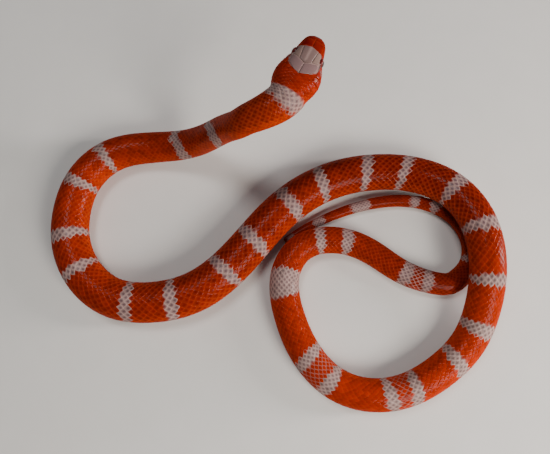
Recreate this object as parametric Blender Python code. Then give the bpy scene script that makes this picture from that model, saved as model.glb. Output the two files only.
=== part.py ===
"""Milk snake, life size: one closed solid for the head, each eye and each length of the body.

The snake lies in a loose double loop with its neck raised and its head held level. The hind
part of the body passes over the root of the tail. The belly rests on the floor on small flats
at z = 0. Lengths are in metres, +Z up; the lists below are in millimetres, as MM says.
"""

import math

import bmesh
import bpy
import numpy as np

MM = 0.001
GAP = 0.3 * MM

# Head pose: where the skull meets the neck, and how the head is turned
HEAD_JOINT = np.array([7.1, 59.1, 79.0]) * MM
HEAD_YAW = math.radians(63.5)
HEAD_PITCH = math.radians(8.0)
HEAD_ROLL = math.radians(4.5)
HEAD_LENGTH = 28 * MM

# Route of the backbone from the head to the tail tip: x, y and the height of the belly
NECK_ROUTE = [
    (-3.6, 51.8, 70.7), (-11.3, 50.9, 67.1), (-16, 51.2, 59.5), (-20.7, 54, 50.3),
    (-26.3, 56.8, 39.1), (-32.9, 58.6, 26.9), (-40.6, 60, 15.9), (-52.7, 61, 5.2),
]
LEFT_LOOP_ROUTE = [
    (-70.7, 62, 0), (-92.5, 59.7, 0), (-108.8, 45.1, 0), (-114.7, 25.4, 0), (-114.1, 4.6, 0),
    (-104.2, -14.5, 0), (-86.8, -27, 0), (-64.6, -27.9, 0),
]
DIAGONAL_ROUTE = [
    (-43.8, -23.4, 0), (-26.8, -11.2, 0), (-13, 4.4, 0), (0.3, 20.8, 0), (16.7, 34.4, 0),
    (36.3, 43.6, 0), (58, 47.2, 0), (78.4, 46.3, 0.5),
]
OVER_TAIL_ROUTE = [
    (96.6, 38.5, 5), (108.1, 23.6, 10), (113.1, 5.5, 12.5), (113.5, -13.6, 11.5),
    (111.7, -31.1, 5), (105.3, -49.2, 0.5),
]
COIL_ROUTE = [
    (89.8, -63.2, 0), (71, -74, 0), (49.8, -76.8, 0), (29.8, -69.9, 0), (15.9, -53.9, 0),
    (8.2, -35.3, 0), (3.5, -13.9, 0), (13.7, 6, 0), (36.5, 9.2, 0), (55.8, 1.4, 0), (70.8, -11.8, 0),
]
TAIL_ROUTE = [
    (95.6, -18.8, 0), (102.2, -14.7, 0), (109.3, -8.1, 0), (111.8, 0.6, 0), (111.1, 9, 0),
    (107.3, 16.6, 0), (101.8, 22.8, 0), (93.4, 27.6, 0), (83.5, 30.6, 0), (70.2, 31.7, 0),
    (54.9, 29.5, 0), (40.1, 25.1, 0), (27, 19.7, 0), (14.8, 13.4, 0), (6.1, 7.8, 0),
]

# Spacing of the controls where the neck leaves the head, counted twice
NECK_LEAD = 18 * MM
# The back of the head swings this far over to its left, so that it runs on into the neck's bend
NECK_SHIFT = np.array([-0.7, 0.4, 0.0]) * MM
SWING_LENGTH = 14 * MM

# Girth: distance behind the head, and half the body's width there
GIRTH = [
    (0, 9.4), (10, 7.1), (30, 6.8), (75, 7.9), (110, 8.9), (150, 9.8), (190, 10.1), (235, 10.7),
    (275, 11.3), (330, 10.9), (400, 10.5), (480, 9.6), (540, 8.9), (600, 8.6), (650, 8.6),
    (700, 8.05), (750, 7.2), (785, 6.5), (808, 5.7), (830, 4.6), (850, 3.9), (880, 3.5),
    (905, 3.1), (925, 2.6), (945, 1.9), (957, 1.0), (965, 0.7),
]
GIRTH_SMOOTHING = 14 * MM

# Cross section, in half widths: the back above the axis, and the belly flat below it
BACK_RISE = 0.95
BELLY_DROP = 0.88
BODY_SIDES = 20
RING_SPACING = 0.34
NECK_RING_SPACING = 0.22
LEAST_RING_SPACING = 3.2 * MM

# Lengths: where the neck ends and where the vent is, and the pieces between and behind
NECK_LENGTH = 92 * MM
VENT = 803 * MM
TORSO_PIECES = 10
TAIL_PIECES = 2

# Head outline: distance behind the snout, half width, crown above and chin below the axis
HEAD_PROFILE = [
    (0.3, 1.7, 0.9, 1.3), (0.8, 3.0, 1.9, 1.9), (1.6, 4.1, 2.8, 2.4), (2.6, 4.8, 3.5, 2.8),
    (4.0, 5.4, 4.2, 3.2), (6.0, 6.0, 4.9, 3.6), (8.0, 6.5, 5.4, 3.9), (10.0, 7.1, 5.7, 4.2),
    (12.0, 7.9, 5.9, 4.5), (15.0, 9.1, 6.2, 4.9), (18.0, 10.1, 6.6, 5.4), (21.0, 10.45, 7.0, 6.0),
    (24.0, 10.05, 7.45, 6.8), (28.0, 8.61, 8.18, 8.18),
]
HEAD_RINGS = [
    0.3, 0.8, 1.5, 2.4, 3.4, 4.6, 5.8, 7.0, 8.3, 9.6, 11.0, 12.4, 13.8, 15.4, 17.0, 18.6,
    20.2, 21.8, 23.4, 25.0, 26.5, 28.0,
]
SNOUT_SQUARENESS = 2.7
NAPE_SQUARENESS = 2.0

# Mouth: angle of its line from the crown, where it ends, and the lips beside it
MOUTH_ANGLE = math.radians(104)
MOUTH_ANGLE_BACK = math.radians(97)
MOUTH_CORNER = 22 * MM
MOUTH_GROOVE = 0.45 * MM
LIP_ANGLE = math.radians(8)
LIP_SWELL = 0.12 * MM
LABIAL_SEAM = 0.22 * MM
LABIAL_SEAM_RINGS = (2, 4, 6, 8, 10, 12, 14, 16)

# Eyes and nostrils: distance behind the snout, off the middle, above the axis, radius
EYE = np.array([10.7, 5.7, 1.7]) * MM
EYE_RADIUS = 2.2 * MM
NOSTRIL = np.array([2.5, 4.75, 1.0]) * MM
NOSTRIL_RADIUS = 0.55 * MM

# Crown shields, each as its outline beside the middle line: (behind the snout, off the
# middle) of the front inner, front outer, rear outer and rear inner corners
SHIELD_RISE = 0.22 * MM
SHIELD_ROOT = 0.6 * MM
SHIELD_BEVEL = 0.2 * MM
SHIELD_CELLS = 4
SHIELD_PAIRS = {
    "internasal": [(1.7, 0.15), (2.2, 2.8), (3.7, 3.7), (3.2, 0.15)],
    "prefrontal": [(3.5, 0.15), (4.1, 3.9), (7.3, 4.6), (6.6, 0.15)],
    "supraocular": [(7.6, 3.6), (8.2, 4.7), (12.7, 5.5), (13.2, 3.0)],
    "parietal": [(15.3, 0.15), (13.2, 5.6), (16.7, 6.4), (20.0, 0.15)],
}
FRONTAL = [(7.1, -3.2), (7.1, 3.2), (13.4, 2.6), (13.4, -2.6)]
FRONTAL_APEX = 1.5 * MM

RED_SCALES = (0.42, 0.035, 0.008, 1.0)
PALE_SHIELDS = (0.42, 0.34, 0.34, 1.0)
EYE_RED = (0.09, 0.008, 0.012, 1.0)


def clear_scene():
    """Removes whatever the scene holds."""
    for obj in list(bpy.data.objects):
        bpy.data.objects.remove(obj, do_unlink=True)


def finish(name, colour, roughness):
    """A glossy Principled material."""
    material = bpy.data.materials.new(name)
    material.use_nodes = True
    shader = material.node_tree.nodes["Principled BSDF"]
    shader.inputs["Base Color"].default_value = colour
    shader.inputs["Roughness"].default_value = roughness
    shader.inputs["Metallic"].default_value = 0.0
    return material


def add_collection(name):
    collection = bpy.data.collections.new(name)
    bpy.context.scene.collection.children.link(collection)
    return collection


def add_object(name, mesh, collection, material=None):
    """An object at the origin with this mesh, smooth except at sharp edges."""
    obj = bpy.data.objects.new(name, mesh)
    collection.objects.link(obj)
    if material is not None:
        mesh.materials.append(material)
    mesh.shade_smooth()
    mesh.set_sharp_from_angle(angle=math.radians(50))
    return obj


def unit(vector):
    return vector / np.linalg.norm(vector)


def head_axes():
    """Forward, left and up of the head: turned by yaw, then pitch, then roll."""
    forward = np.array([
        math.cos(HEAD_YAW) * math.cos(HEAD_PITCH),
        math.sin(HEAD_YAW) * math.cos(HEAD_PITCH),
        math.sin(HEAD_PITCH),
    ])
    left = unit(np.cross([0.0, 0.0, 1.0], forward))
    up = np.cross(forward, left)
    rolled_left = math.cos(HEAD_ROLL) * left + math.sin(HEAD_ROLL) * up
    return forward, rolled_left, np.cross(forward, rolled_left)


def backbone_controls():
    """Spline controls from inside the head to the tail tip, as x, y and belly height.

    The first two are worked out so that the spline starts at the head joint and leaves it
    straight behind the head.
    """
    points = np.array(
        NECK_ROUTE + LEFT_LOOP_ROUTE + DIAGONAL_ROUTE + OVER_TAIL_ROUTE + COIL_ROUTE + TAIL_ROUTE
    ) * MM
    forward = head_axes()[0]
    joint = HEAD_JOINT + NECK_SHIFT - np.array([0, 0, BELLY_DROP * half_width(0.0)])
    ahead = points[0] + NECK_LEAD * forward
    at_joint = (6 * joint - ahead - points[0]) / 4
    past_tip = 2 * points[-1] - points[-2]
    return np.vstack([ahead, at_joint, points, past_tip])


def b_spline(controls, steps):
    """Uniform cubic B-spline: each piece is the weighted mean of four controls."""
    t = np.linspace(0, 1, steps, endpoint=False)[:, None]
    weights = [
        (1 - t) ** 3,
        3 * t**3 - 6 * t**2 + 4,
        -3 * t**3 + 3 * t**2 + 3 * t + 1,
        t**3,
    ]
    pieces = [
        sum(w * controls[i + k] for k, w in enumerate(weights)) / 6
        for i in range(len(controls) - 3)
    ]
    last = (controls[-3] + 4 * controls[-2] + controls[-1]) / 6
    return np.vstack(pieces + [last[None]])


def half_width(distance):
    """Half the body's width at distances behind the head, eased between the girth stations."""
    stations = np.array(GIRTH) * MM
    offsets = np.linspace(-1, 1, 9) * GIRTH_SMOOTHING
    samples = [np.interp(distance + o, stations[:, 0], stations[:, 1]) for o in offsets]
    return np.mean(samples, axis=0)


class Backbone:
    """The body's axis by distance behind the head joint, with a frame at each point."""

    def __init__(self):
        belly = b_spline(backbone_controls(), 40)
        self.distance = self.measure(belly)
        # The height above the belly depends on the distance, which is measured along the axis
        for _ in range(3):
            self.axis = belly.copy()
            self.axis[:, 2] += BELLY_DROP * half_width(self.distance)
            self.distance = self.measure(self.axis)
        self.length = self.distance[-1]

    @staticmethod
    def measure(points):
        steps = np.linalg.norm(np.diff(points, axis=0), axis=1)
        return np.concatenate([[0.0], np.cumsum(steps)])

    def point(self, distance):
        return np.array([np.interp(distance, self.distance, self.axis[:, k]) for k in range(3)])

    def frame(self, distance):
        """Backward, left and up at a distance, level except for the head's roll, which fades."""
        reach = 1.0 * MM
        backward = unit(self.point(distance + reach) - self.point(distance - reach))
        if distance < reach:
            backward = -head_axes()[0]
        left = unit(np.cross(backward, [0.0, 0.0, 1.0]))
        up = np.cross(left, backward)
        roll = HEAD_ROLL * max(0.0, 1 - distance / NECK_LENGTH) ** 2
        rolled_left = math.cos(roll) * left + math.sin(roll) * up
        return backward, rolled_left, np.cross(rolled_left, backward)


def body_section(radius):
    """Points of the body's section, left and up of the axis: an ellipse with a flat belly."""
    turn = np.arange(BODY_SIDES) * 2 * math.pi / BODY_SIDES
    across = radius * np.sin(turn)
    rise = BACK_RISE * radius * np.cos(turn)
    return across, np.maximum(rise, -BELLY_DROP * radius)


def ring_places(start, end, spacing):
    """Distances of the rings between two ends, their spacing a share of the width."""
    places = [start]
    while places[-1] < end:
        width = 2 * half_width(places[-1])
        places.append(places[-1] + max(LEAST_RING_SPACING, spacing * width))
    places = np.array(places)
    return start + (places - start) * (end - start) / (places[-1] - start)


def loft(name, rings, tip=None):
    """A closed mesh over rings of equal count, capped at each end or drawn to a tip.

    The first ring turns anticlockwise seen from behind the last.
    """
    sides = len(rings[0])
    made = bmesh.new()
    rows = [[made.verts.new(p) for p in ring] for ring in rings]
    for fore, aft in zip(rows, rows[1:]):
        for k in range(sides):
            m = (k + 1) % sides
            made.faces.new((fore[k], fore[m], aft[m], aft[k]))
    made.faces.new(rows[0][::-1])
    if tip is None:
        made.faces.new(rows[-1])
    else:
        point = made.verts.new(tip)
        for k in range(sides):
            made.faces.new((rows[-1][k], rows[-1][(k + 1) % sides], point))
    bmesh.ops.recalc_face_normals(made, faces=made.faces)
    mesh = bpy.data.meshes.new(name)
    made.to_mesh(mesh)
    made.free()
    return mesh


def body_length(name, spine, start, end, tapered=False):
    """One length of the body between two distances behind the head."""
    rings = []
    spacing = NECK_RING_SPACING if name == "neck" else RING_SPACING
    for place in ring_places(start, end, spacing):
        radius = float(half_width(place))
        _, left, up = spine.frame(place)
        across, rise = body_section(radius)
        rings.append(spine.point(place) + np.outer(across, left) + np.outer(rise, up))
    tip = None
    if tapered:
        radius = float(half_width(end))
        backward, _, up = spine.frame(end)
        tip = spine.point(end) + backward * radius - up * 0.5 * radius
    return loft(name, rings, tip)


def head_size(behind):
    """Half width, crown and chin of the head at a distance behind the snout."""
    profile = np.array(HEAD_PROFILE) * MM
    spread = np.linspace(-1, 1, 5) * 0.6 * MM
    inside = np.clip(behind + spread, profile[0, 0], profile[-1, 0])
    if behind >= profile[-1, 0]:
        inside = np.full(5, profile[-1, 0])
    return [float(np.mean(np.interp(inside, profile[:, 0], profile[:, k]))) for k in (1, 2, 3)]


def head_squareness(behind):
    """Exponent of the head's rounded-square section, from the snout back to a round nape."""
    share = min(1.0, behind / HEAD_LENGTH)
    return SNOUT_SQUARENESS + (NAPE_SQUARENESS - SNOUT_SQUARENESS) * share


def head_offset(behind, turn):
    """Left and up of the head's axis on its smooth surface, at an angle from the crown."""
    half, crown, chin = head_size(behind)
    power = 2 / head_squareness(behind)
    sine, cosine = math.sin(turn), math.cos(turn)
    across = half * math.copysign(abs(sine) ** power, sine)
    tall = crown if cosine > 0 else chin
    rise = tall * math.copysign(abs(cosine) ** power, cosine)
    floor = -chin + (chin - BELLY_DROP * half) * max(0.0, behind / HEAD_LENGTH) ** 4
    return across, max(rise, floor)


class HeadPlacer:
    """Puts points given behind the snout, left and up of the head's axis into the world."""

    def __init__(self):
        self.forward, self.left, self.up = head_axes()
        self.snout = HEAD_JOINT + HEAD_LENGTH * self.forward

    def __call__(self, behind, across, rise):
        t = min(1.0, max(0.0, HEAD_LENGTH - behind) / SWING_LENGTH)
        swing = NECK_SHIFT * (1 - t * t * (3 - 2 * t))
        return self.snout + swing - behind * self.forward + across * self.left + rise * self.up


def head_turns(behind):
    """Angles of the head's rows down its left side, with three rows along the mouth."""
    share = min(1.0, behind / MOUTH_CORNER)
    mouth = MOUTH_ANGLE + (MOUTH_ANGLE_BACK - MOUTH_ANGLE) * share
    above = [math.radians(a) for a in (0, 15, 30, 44, 58, 71, 84)]
    below = [math.radians(a) for a in (129, 147, 164, 180)]
    return above + [mouth - LIP_ANGLE, mouth, mouth + LIP_ANGLE] + below


def head_ring(place, number, behind):
    """One ring of the head, with the mouth's groove, the lips and the seams between labials."""
    turns = head_turns(behind)
    groove_row = 8
    fade = max(0.0, min(1.0, (MOUTH_CORNER + 1.5 * MM - behind) / (1.5 * MM)))
    half = []
    for row, turn in enumerate(turns):
        across, rise = head_offset(behind, turn)
        if row == groove_row:
            across -= MOUTH_GROOVE * fade
        if row in (groove_row - 1, groove_row + 1):
            across += LIP_SWELL * fade
        if row in (groove_row - 2, groove_row - 1, groove_row + 1) and number in LABIAL_SEAM_RINGS:
            across -= LABIAL_SEAM
        half.append((max(across, 0.0), rise))
    other = [(-a, r) for a, r in half[-2:0:-1]]
    return [place(behind, a, r) for a, r in half + other]


def skull_mesh(place):
    """The head without its shields, from the snout to the joint with the neck."""
    rings = []
    for number, ring in enumerate(HEAD_RINGS):
        behind = min(ring * MM, HEAD_LENGTH - GAP / 2)
        rings.append(head_ring(place, number, behind))
    # The rings run backward, so the tip that closes them is the snout, at the other end
    return loft("skull", rings[::-1], tip=place(0.05 * MM, 0.0, -0.2 * MM))


def on_crown(place, behind, off_middle, lift):
    """A point of the crown's surface at a place off the middle line, moved out by a lift."""
    half, crown, _ = head_size(behind)
    power = head_squareness(behind)
    share = min(0.97, abs(off_middle) / half)
    rise = crown * (1 - share**power) ** (1 / power)
    slope = share ** (power - 1) * (rise / crown) ** (1 - power) * crown / half
    side = math.copysign(slope, off_middle)
    length = math.hypot(1.0, slope)
    return place(behind, off_middle + lift * side / length, rise + lift / length)


def shield_grid(corners, apex, inset):
    """Places (behind, off middle) of a shield's grid, its edges drawn in by an inset."""
    front_in, front_out, rear_out, rear_in = np.array(corners) * MM
    width = np.linalg.norm(front_out - front_in)
    depth = np.linalg.norm(rear_in - front_in)
    across = np.linspace(inset / width, 1 - inset / width, SHIELD_CELLS + 1)
    along = np.linspace(inset / depth, 1 - inset / depth, SHIELD_CELLS + 1)
    grid = []
    for v in along:
        row = []
        for u in across:
            fore = front_in + u * (front_out - front_in)
            aft = rear_in + u * (rear_out - rear_in)
            spot = fore + v * (aft - fore)
            spot = spot + np.array([apex * v * (1 - abs(2 * u - 1)), 0.0])
            row.append(spot)
        grid.append(row)
    return grid


def shield_mesh(name, place, corners, apex=0.0):
    """A raised plate: a bevelled top that follows the crown, on a root sunk into the head."""
    made = bmesh.new()
    layers = []
    for inset, lift in ((SHIELD_BEVEL, SHIELD_RISE), (0.0, -SHIELD_ROOT)):
        grid = shield_grid(corners, apex, inset)
        layers.append([[made.verts.new(on_crown(place, *spot, lift)) for spot in row]
                       for row in grid])
    top, root = layers
    n = SHIELD_CELLS
    for layer in layers:
        for i in range(n):
            for j in range(n):
                made.faces.new((layer[i][j], layer[i][j + 1], layer[i + 1][j + 1], layer[i + 1][j]))
    rim = [(0, j) for j in range(n)] + [(i, n) for i in range(n)]
    rim += [(n, j) for j in range(n, 0, -1)] + [(i, 0) for i in range(n, 0, -1)]
    for a, b in zip(rim, rim[1:] + rim[:1]):
        made.faces.new((top[a[0]][a[1]], top[b[0]][b[1]], root[b[0]][b[1]], root[a[0]][a[1]]))
    bmesh.ops.recalc_face_normals(made, faces=made.faces)
    mesh = bpy.data.meshes.new(name)
    made.to_mesh(mesh)
    made.free()
    return mesh


def add_shields(place, collection):
    """The nine big shields of the crown."""
    frontal = shield_mesh("frontal", place, FRONTAL, FRONTAL_APEX)
    add_object("frontal", frontal, collection)
    for name, corners in SHIELD_PAIRS.items():
        for side, sign in (("left", 1), ("right", -1)):
            outline = [(behind, sign * off) for behind, off in corners]
            mesh = shield_mesh(name, place, outline)
            add_object(f"{name}_{side}", mesh, collection)


def ball(name, centre, radius, collection, rings=10):
    """A small UV sphere."""
    made = bmesh.new()
    bmesh.ops.create_uvsphere(made, u_segments=2 * rings, v_segments=rings, radius=radius)
    bmesh.ops.translate(made, verts=made.verts, vec=centre)
    mesh = bpy.data.meshes.new(name)
    made.to_mesh(mesh)
    made.free()
    return add_object(name, mesh, collection)


def join_and_cut(obj, plates, cutters):
    """Joins the plates to an object and cuts the cutters from it, as one plain mesh."""
    for operation, collection in (("UNION", plates), ("DIFFERENCE", cutters)):
        step = obj.modifiers.new(operation.lower(), "BOOLEAN")
        step.operation = operation
        step.operand_type = "COLLECTION"
        step.collection = collection
        step.solver = "EXACT"
    graph = bpy.context.evaluated_depsgraph_get()
    mesh = bpy.data.meshes.new_from_object(obj.evaluated_get(graph))
    obj.modifiers.clear()
    obj.data = mesh
    for collection in (plates, cutters):
        for piece in list(collection.objects):
            bpy.data.objects.remove(piece, do_unlink=True)
        bpy.data.collections.remove(collection)


def keep_largest(obj):
    """Keeps only the largest closed surface of a mesh."""
    made = bmesh.new()
    made.from_mesh(obj.data)
    bmesh.ops.remove_doubles(made, verts=made.verts, dist=0.00002)
    left = set(made.faces)
    groups = []
    while left:
        group, edge = set(), [left.pop()]
        while edge:
            face = edge.pop()
            group.add(face)
            for neighbour in (f for e in face.edges for f in e.link_faces):
                if neighbour in left:
                    left.remove(neighbour)
                    edge.append(neighbour)
        groups.append(group)
    groups.sort(key=lambda group: sum(face.calc_area() for face in group))
    for group in groups[:-1]:
        bmesh.ops.delete(made, geom=list(group), context="FACES")
    bmesh.ops.triangulate(made, faces=made.faces)
    made.to_mesh(obj.data)
    made.free()
    obj.data.shade_smooth()
    obj.data.set_sharp_from_angle(angle=math.radians(35))


def add_head(collection, skin, eye_finish):
    """The head with its shields, sockets and nostrils, and the two eyes."""
    place = HeadPlacer()
    plates = add_collection("crown_plates")
    cutters = add_collection("head_cutters")
    add_shields(place, plates)
    for side, sign in (("left", 1), ("right", -1)):
        seat = place(EYE[0], sign * EYE[1], EYE[2])
        ball(f"socket_{side}", seat, EYE_RADIUS + GAP, cutters)
        nostril = place(NOSTRIL[0], sign * NOSTRIL[1], NOSTRIL[2])
        ball(f"nostril_{side}", nostril, NOSTRIL_RADIUS, cutters, rings=6)
        eye = ball(f"eye_{side}", seat, EYE_RADIUS, collection)
        eye.data.materials.append(eye_finish)
    head = add_object("head", skull_mesh(place), collection, skin)
    join_and_cut(head, plates, cutters)
    keep_largest(head)


def add_body(collection, skin):
    """The neck, the lengths of the torso and the lengths of the tail."""
    spine = Backbone()
    half_gap = GAP / 2
    cuts = [("neck", 0.0, NECK_LENGTH)]
    torso = np.linspace(NECK_LENGTH, VENT, TORSO_PIECES + 1)
    for k, (start, end) in enumerate(zip(torso, torso[1:])):
        cuts.append((f"torso_{k + 1:02d}", start, end))
    tail = np.linspace(VENT, spine.length, TAIL_PIECES + 1)
    cuts.append(("tail_base", tail[0], tail[1]))
    cuts.append(("tail_tip", tail[1], tail[2] + half_gap))
    for name, start, end in cuts:
        tapered = name == "tail_tip"
        mesh = body_length(name, spine, start + half_gap, end - half_gap, tapered)
        add_object(name, mesh, collection, skin)
    return spine


def main():
    clear_scene()
    snake = add_collection("milk_snake")
    skin = finish("red_scales", RED_SCALES, 0.35)
    eye_finish = finish("eye", EYE_RED, 0.05)
    spine = add_body(snake, skin)
    add_head(snake, skin, eye_finish)
    whole = spine.length + HEAD_LENGTH
    print(f"length {whole / MM:.0f} mm, greatest width {2 * max(r for _, r in GIRTH):.1f} mm")


main()
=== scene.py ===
# %% [markdown]
# # A milk snake, life size, at rest in loose coils
#
# A snake's shape is a tube carried along a path, so nearly everything here is one surface with
# two parameters: how far along the snake a point is, and how far round it. The skin, the
# scales, the belly's scutes and the shields of the head are all laid out in those two numbers.
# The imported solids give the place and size, and this script gives the coat and its colours.

# %% The frame and its tools
import math

import bpy
import numpy as np
from mathutils import Matrix


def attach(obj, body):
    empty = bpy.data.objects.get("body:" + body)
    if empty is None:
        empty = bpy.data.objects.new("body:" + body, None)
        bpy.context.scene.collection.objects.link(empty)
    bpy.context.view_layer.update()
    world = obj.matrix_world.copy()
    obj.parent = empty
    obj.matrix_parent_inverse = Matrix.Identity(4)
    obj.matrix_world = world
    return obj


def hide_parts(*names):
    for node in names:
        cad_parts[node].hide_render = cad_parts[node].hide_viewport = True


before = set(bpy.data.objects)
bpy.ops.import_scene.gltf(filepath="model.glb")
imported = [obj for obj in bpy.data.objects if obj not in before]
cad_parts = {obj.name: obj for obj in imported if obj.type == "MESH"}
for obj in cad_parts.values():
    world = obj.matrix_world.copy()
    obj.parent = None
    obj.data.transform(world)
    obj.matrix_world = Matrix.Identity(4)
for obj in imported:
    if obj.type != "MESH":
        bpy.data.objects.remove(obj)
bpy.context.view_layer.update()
MM = 0.001

# %% [markdown]
# ## The camera
#
# The photograph looks almost straight down, from a little in front of the animal. A camera is
# best set first, because every later choice is judged through it. It could be aimed by eye, but
# this one's place was worked out by matching the outline of the coils, so it is written as
# plain numbers.

# %% Camera
camera = bpy.data.objects.new("camera", bpy.data.cameras.new("camera"))
bpy.context.scene.collection.objects.link(camera)
camera.data.lens = 30.76
camera.data.sensor_width = 36.0
camera.data.clip_start = 0.005
camera.location = (0.0007, -0.0361, 0.2675)
camera.rotation_euler = (math.radians(11.089), 0.0, 0.0)
bpy.context.scene.camera = camera
print("camera", round(camera.location.z * 1000), "mm above the floor")

# %% [markdown]
# ## The path of the backbone
#
# On the real animal this is the spine: some 230 joints that each bend a few degrees, so the
# curve never kinks. It could be drawn as a Blender curve, but a spline worked out with numpy
# gives the distance along it at every point, and the scales are counted by that distance. The
# path is given where the belly lies, because the belly rests on the floor or on the coil below.

# %% The path's points, in millimetres
HEAD_JOINT = np.array([7.1, 59.1, 79.0])
HEAD_YAW, HEAD_PITCH, HEAD_ROLL = (math.radians(a) for a in (63.5, 8.0, 4.5))
HEAD_LENGTH = 28.0
NECK_LEAD = 18.0
NECK_SHIFT = np.array([-0.7, 0.4, 0.0])
NECK_ROUTE = [
    (-3.6, 51.8, 70.7), (-11.3, 50.9, 67.1), (-16, 51.2, 59.5), (-20.7, 54, 50.3),
    (-26.3, 56.8, 39.1), (-32.9, 58.6, 26.9), (-40.6, 60, 15.9), (-52.7, 61, 5.2),
]
LEFT_LOOP_ROUTE = [
    (-70.7, 62, 0), (-92.5, 59.7, 0), (-108.8, 45.1, 0), (-114.7, 25.4, 0), (-114.1, 4.6, 0),
    (-104.2, -14.5, 0), (-86.8, -27, 0), (-64.6, -27.9, 0),
]
DIAGONAL_ROUTE = [
    (-43.8, -23.4, 0), (-26.8, -11.2, 0), (-13, 4.4, 0), (0.3, 20.8, 0), (16.7, 34.4, 0),
    (36.3, 43.6, 0), (58, 47.2, 0), (78.4, 46.3, 0.5),
]
OVER_TAIL_ROUTE = [
    (96.6, 38.5, 5), (108.1, 23.6, 10), (113.1, 5.5, 12.5), (113.5, -13.6, 11.5),
    (111.7, -31.1, 5), (105.3, -49.2, 0.5),
]
COIL_ROUTE = [
    (89.8, -63.2, 0), (71, -74, 0), (49.8, -76.8, 0), (29.8, -69.9, 0), (15.9, -53.9, 0),
    (8.2, -35.3, 0), (3.5, -13.9, 0), (13.7, 6, 0), (36.5, 9.2, 0), (55.8, 1.4, 0),
    (70.8, -11.8, 0),
]
TAIL_ROUTE = [
    (95.6, -18.8, 0), (102.2, -14.7, 0), (109.3, -8.1, 0), (111.8, 0.6, 0), (111.1, 9, 0),
    (107.3, 16.6, 0), (101.8, 22.8, 0), (93.4, 27.6, 0), (83.5, 30.6, 0), (70.2, 31.7, 0),
    (54.9, 29.5, 0), (40.1, 25.1, 0), (27, 19.7, 0), (14.8, 13.4, 0), (6.1, 7.8, 0),
]
ROUTE = np.array(
    NECK_ROUTE + LEFT_LOOP_ROUTE + DIAGONAL_ROUTE + OVER_TAIL_ROUTE + COIL_ROUTE + TAIL_ROUTE
)
print("points of the route:", len(ROUTE), "highest", ROUTE[:, 2].max(), "mm")

# %% The body's girth
# Distance and half width, in millimetres
GIRTH = np.array([
    (0, 9.4), (10, 7.1), (30, 6.8), (75, 7.9), (110, 8.9), (150, 9.8), (190, 10.1), (235, 10.7),
    (275, 11.3), (330, 10.9), (400, 10.5), (480, 9.6), (540, 8.9), (600, 8.6), (650, 8.6),
    (700, 8.05), (750, 7.2), (785, 6.5), (808, 5.7), (830, 4.6), (850, 3.9), (880, 3.5),
    (905, 3.1), (925, 2.6), (945, 1.9), (957, 1.0), (965, 0.7),
])
GIRTH_BLUR = 14.0
BACK_RISE, BELLY_DROP = 0.95, 0.88


def half_width(distance):
    """Half the body's width: the mean of nine readings of GIRTH within 14 mm either way."""
    offsets = np.linspace(-1, 1, 9) * GIRTH_BLUR
    return np.mean([np.interp(distance + o, GIRTH[:, 0], GIRTH[:, 1]) for o in offsets], axis=0)


print("widest:", 2 * GIRTH[:, 1].max(), "mm")

# %% Directions and soft steps


def unit(vectors):
    """Each vector divided by its own length."""
    return vectors / np.linalg.norm(vectors, axis=-1, keepdims=True)


def smooth_step(low, high, value):
    """0 below low, 1 above high, and 3t² - 2t³ between them."""
    t = np.clip((value - low) / (high - low), 0.0, 1.0)
    return t * t * (3 - 2 * t)


HEAD_FORWARD = np.array([
    math.cos(HEAD_YAW) * math.cos(HEAD_PITCH), math.sin(HEAD_YAW) * math.cos(HEAD_PITCH),
    math.sin(HEAD_PITCH),
])
print("the head looks towards", HEAD_FORWARD.round(2))

# %% The spline through the points
SPLINE_STEPS = 40


def along_path(points):
    """Distance from the first point to each point, as the running sum of the steps."""
    return np.concatenate([[0.0], np.cumsum(np.linalg.norm(np.diff(points, axis=0), axis=1))])


def backbone():
    """Distances and axis points of the body.

    A uniform cubic B-spline: each point is the weighted mean of four controls. The first two
    controls make it start at the head joint along the head. The axis lies 0.88 half widths
    above the belly, and the half width depends on the distance, so three rounds settle it.
    """
    joint = HEAD_JOINT + NECK_SHIFT - np.array([0, 0, BELLY_DROP * half_width(0.0)])
    ahead = ROUTE[0] + NECK_LEAD * HEAD_FORWARD
    at_joint = (6 * joint - ahead - ROUTE[0]) / 4
    controls = np.vstack([ahead, at_joint, ROUTE, 2 * ROUTE[-1] - ROUTE[-2]])
    t = np.linspace(0, 1, SPLINE_STEPS, endpoint=False)[:, None]
    weights = [(1 - t) ** 3, 3 * t**3 - 6 * t**2 + 4, -3 * t**3 + 3 * t**2 + 3 * t + 1, t**3]
    pieces = [
        sum(w * controls[i + k] for k, w in enumerate(weights)) / 6
        for i in range(len(controls) - 3)
    ]
    belly = np.vstack(pieces + [(controls[-3] + 4 * controls[-2] + controls[-1])[None] / 6])
    distance = along_path(belly)
    for _ in range(3):
        axis = belly.copy()
        axis[:, 2] += BELLY_DROP * half_width(distance)
        distance = along_path(axis)
    return distance, axis


path_distance, path_axis = backbone()
BODY_LENGTH = float(path_distance[-1])
print("snout to tail tip:", round(BODY_LENGTH + HEAD_LENGTH, 1), "mm")

# %% [markdown]
# ## One surface for the whole snake
#
# Every section of a snake is a rounded loaf with a flat belly. Behind the head it is an
# ellipse. The head's sections are squarer, wide at the jaw and low at the snout. So a table
# holds the head's half width, crown and chin at each distance, and one function turns a
# distance, an angle from the crown and a lift off the surface into a point in space. It could
# be a tube modelled by hand, but then each scale would have to be fitted to it by search.
# Distances count from the joint behind the head: the snout is at -28 and the tail tip at about
# 947.

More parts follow.
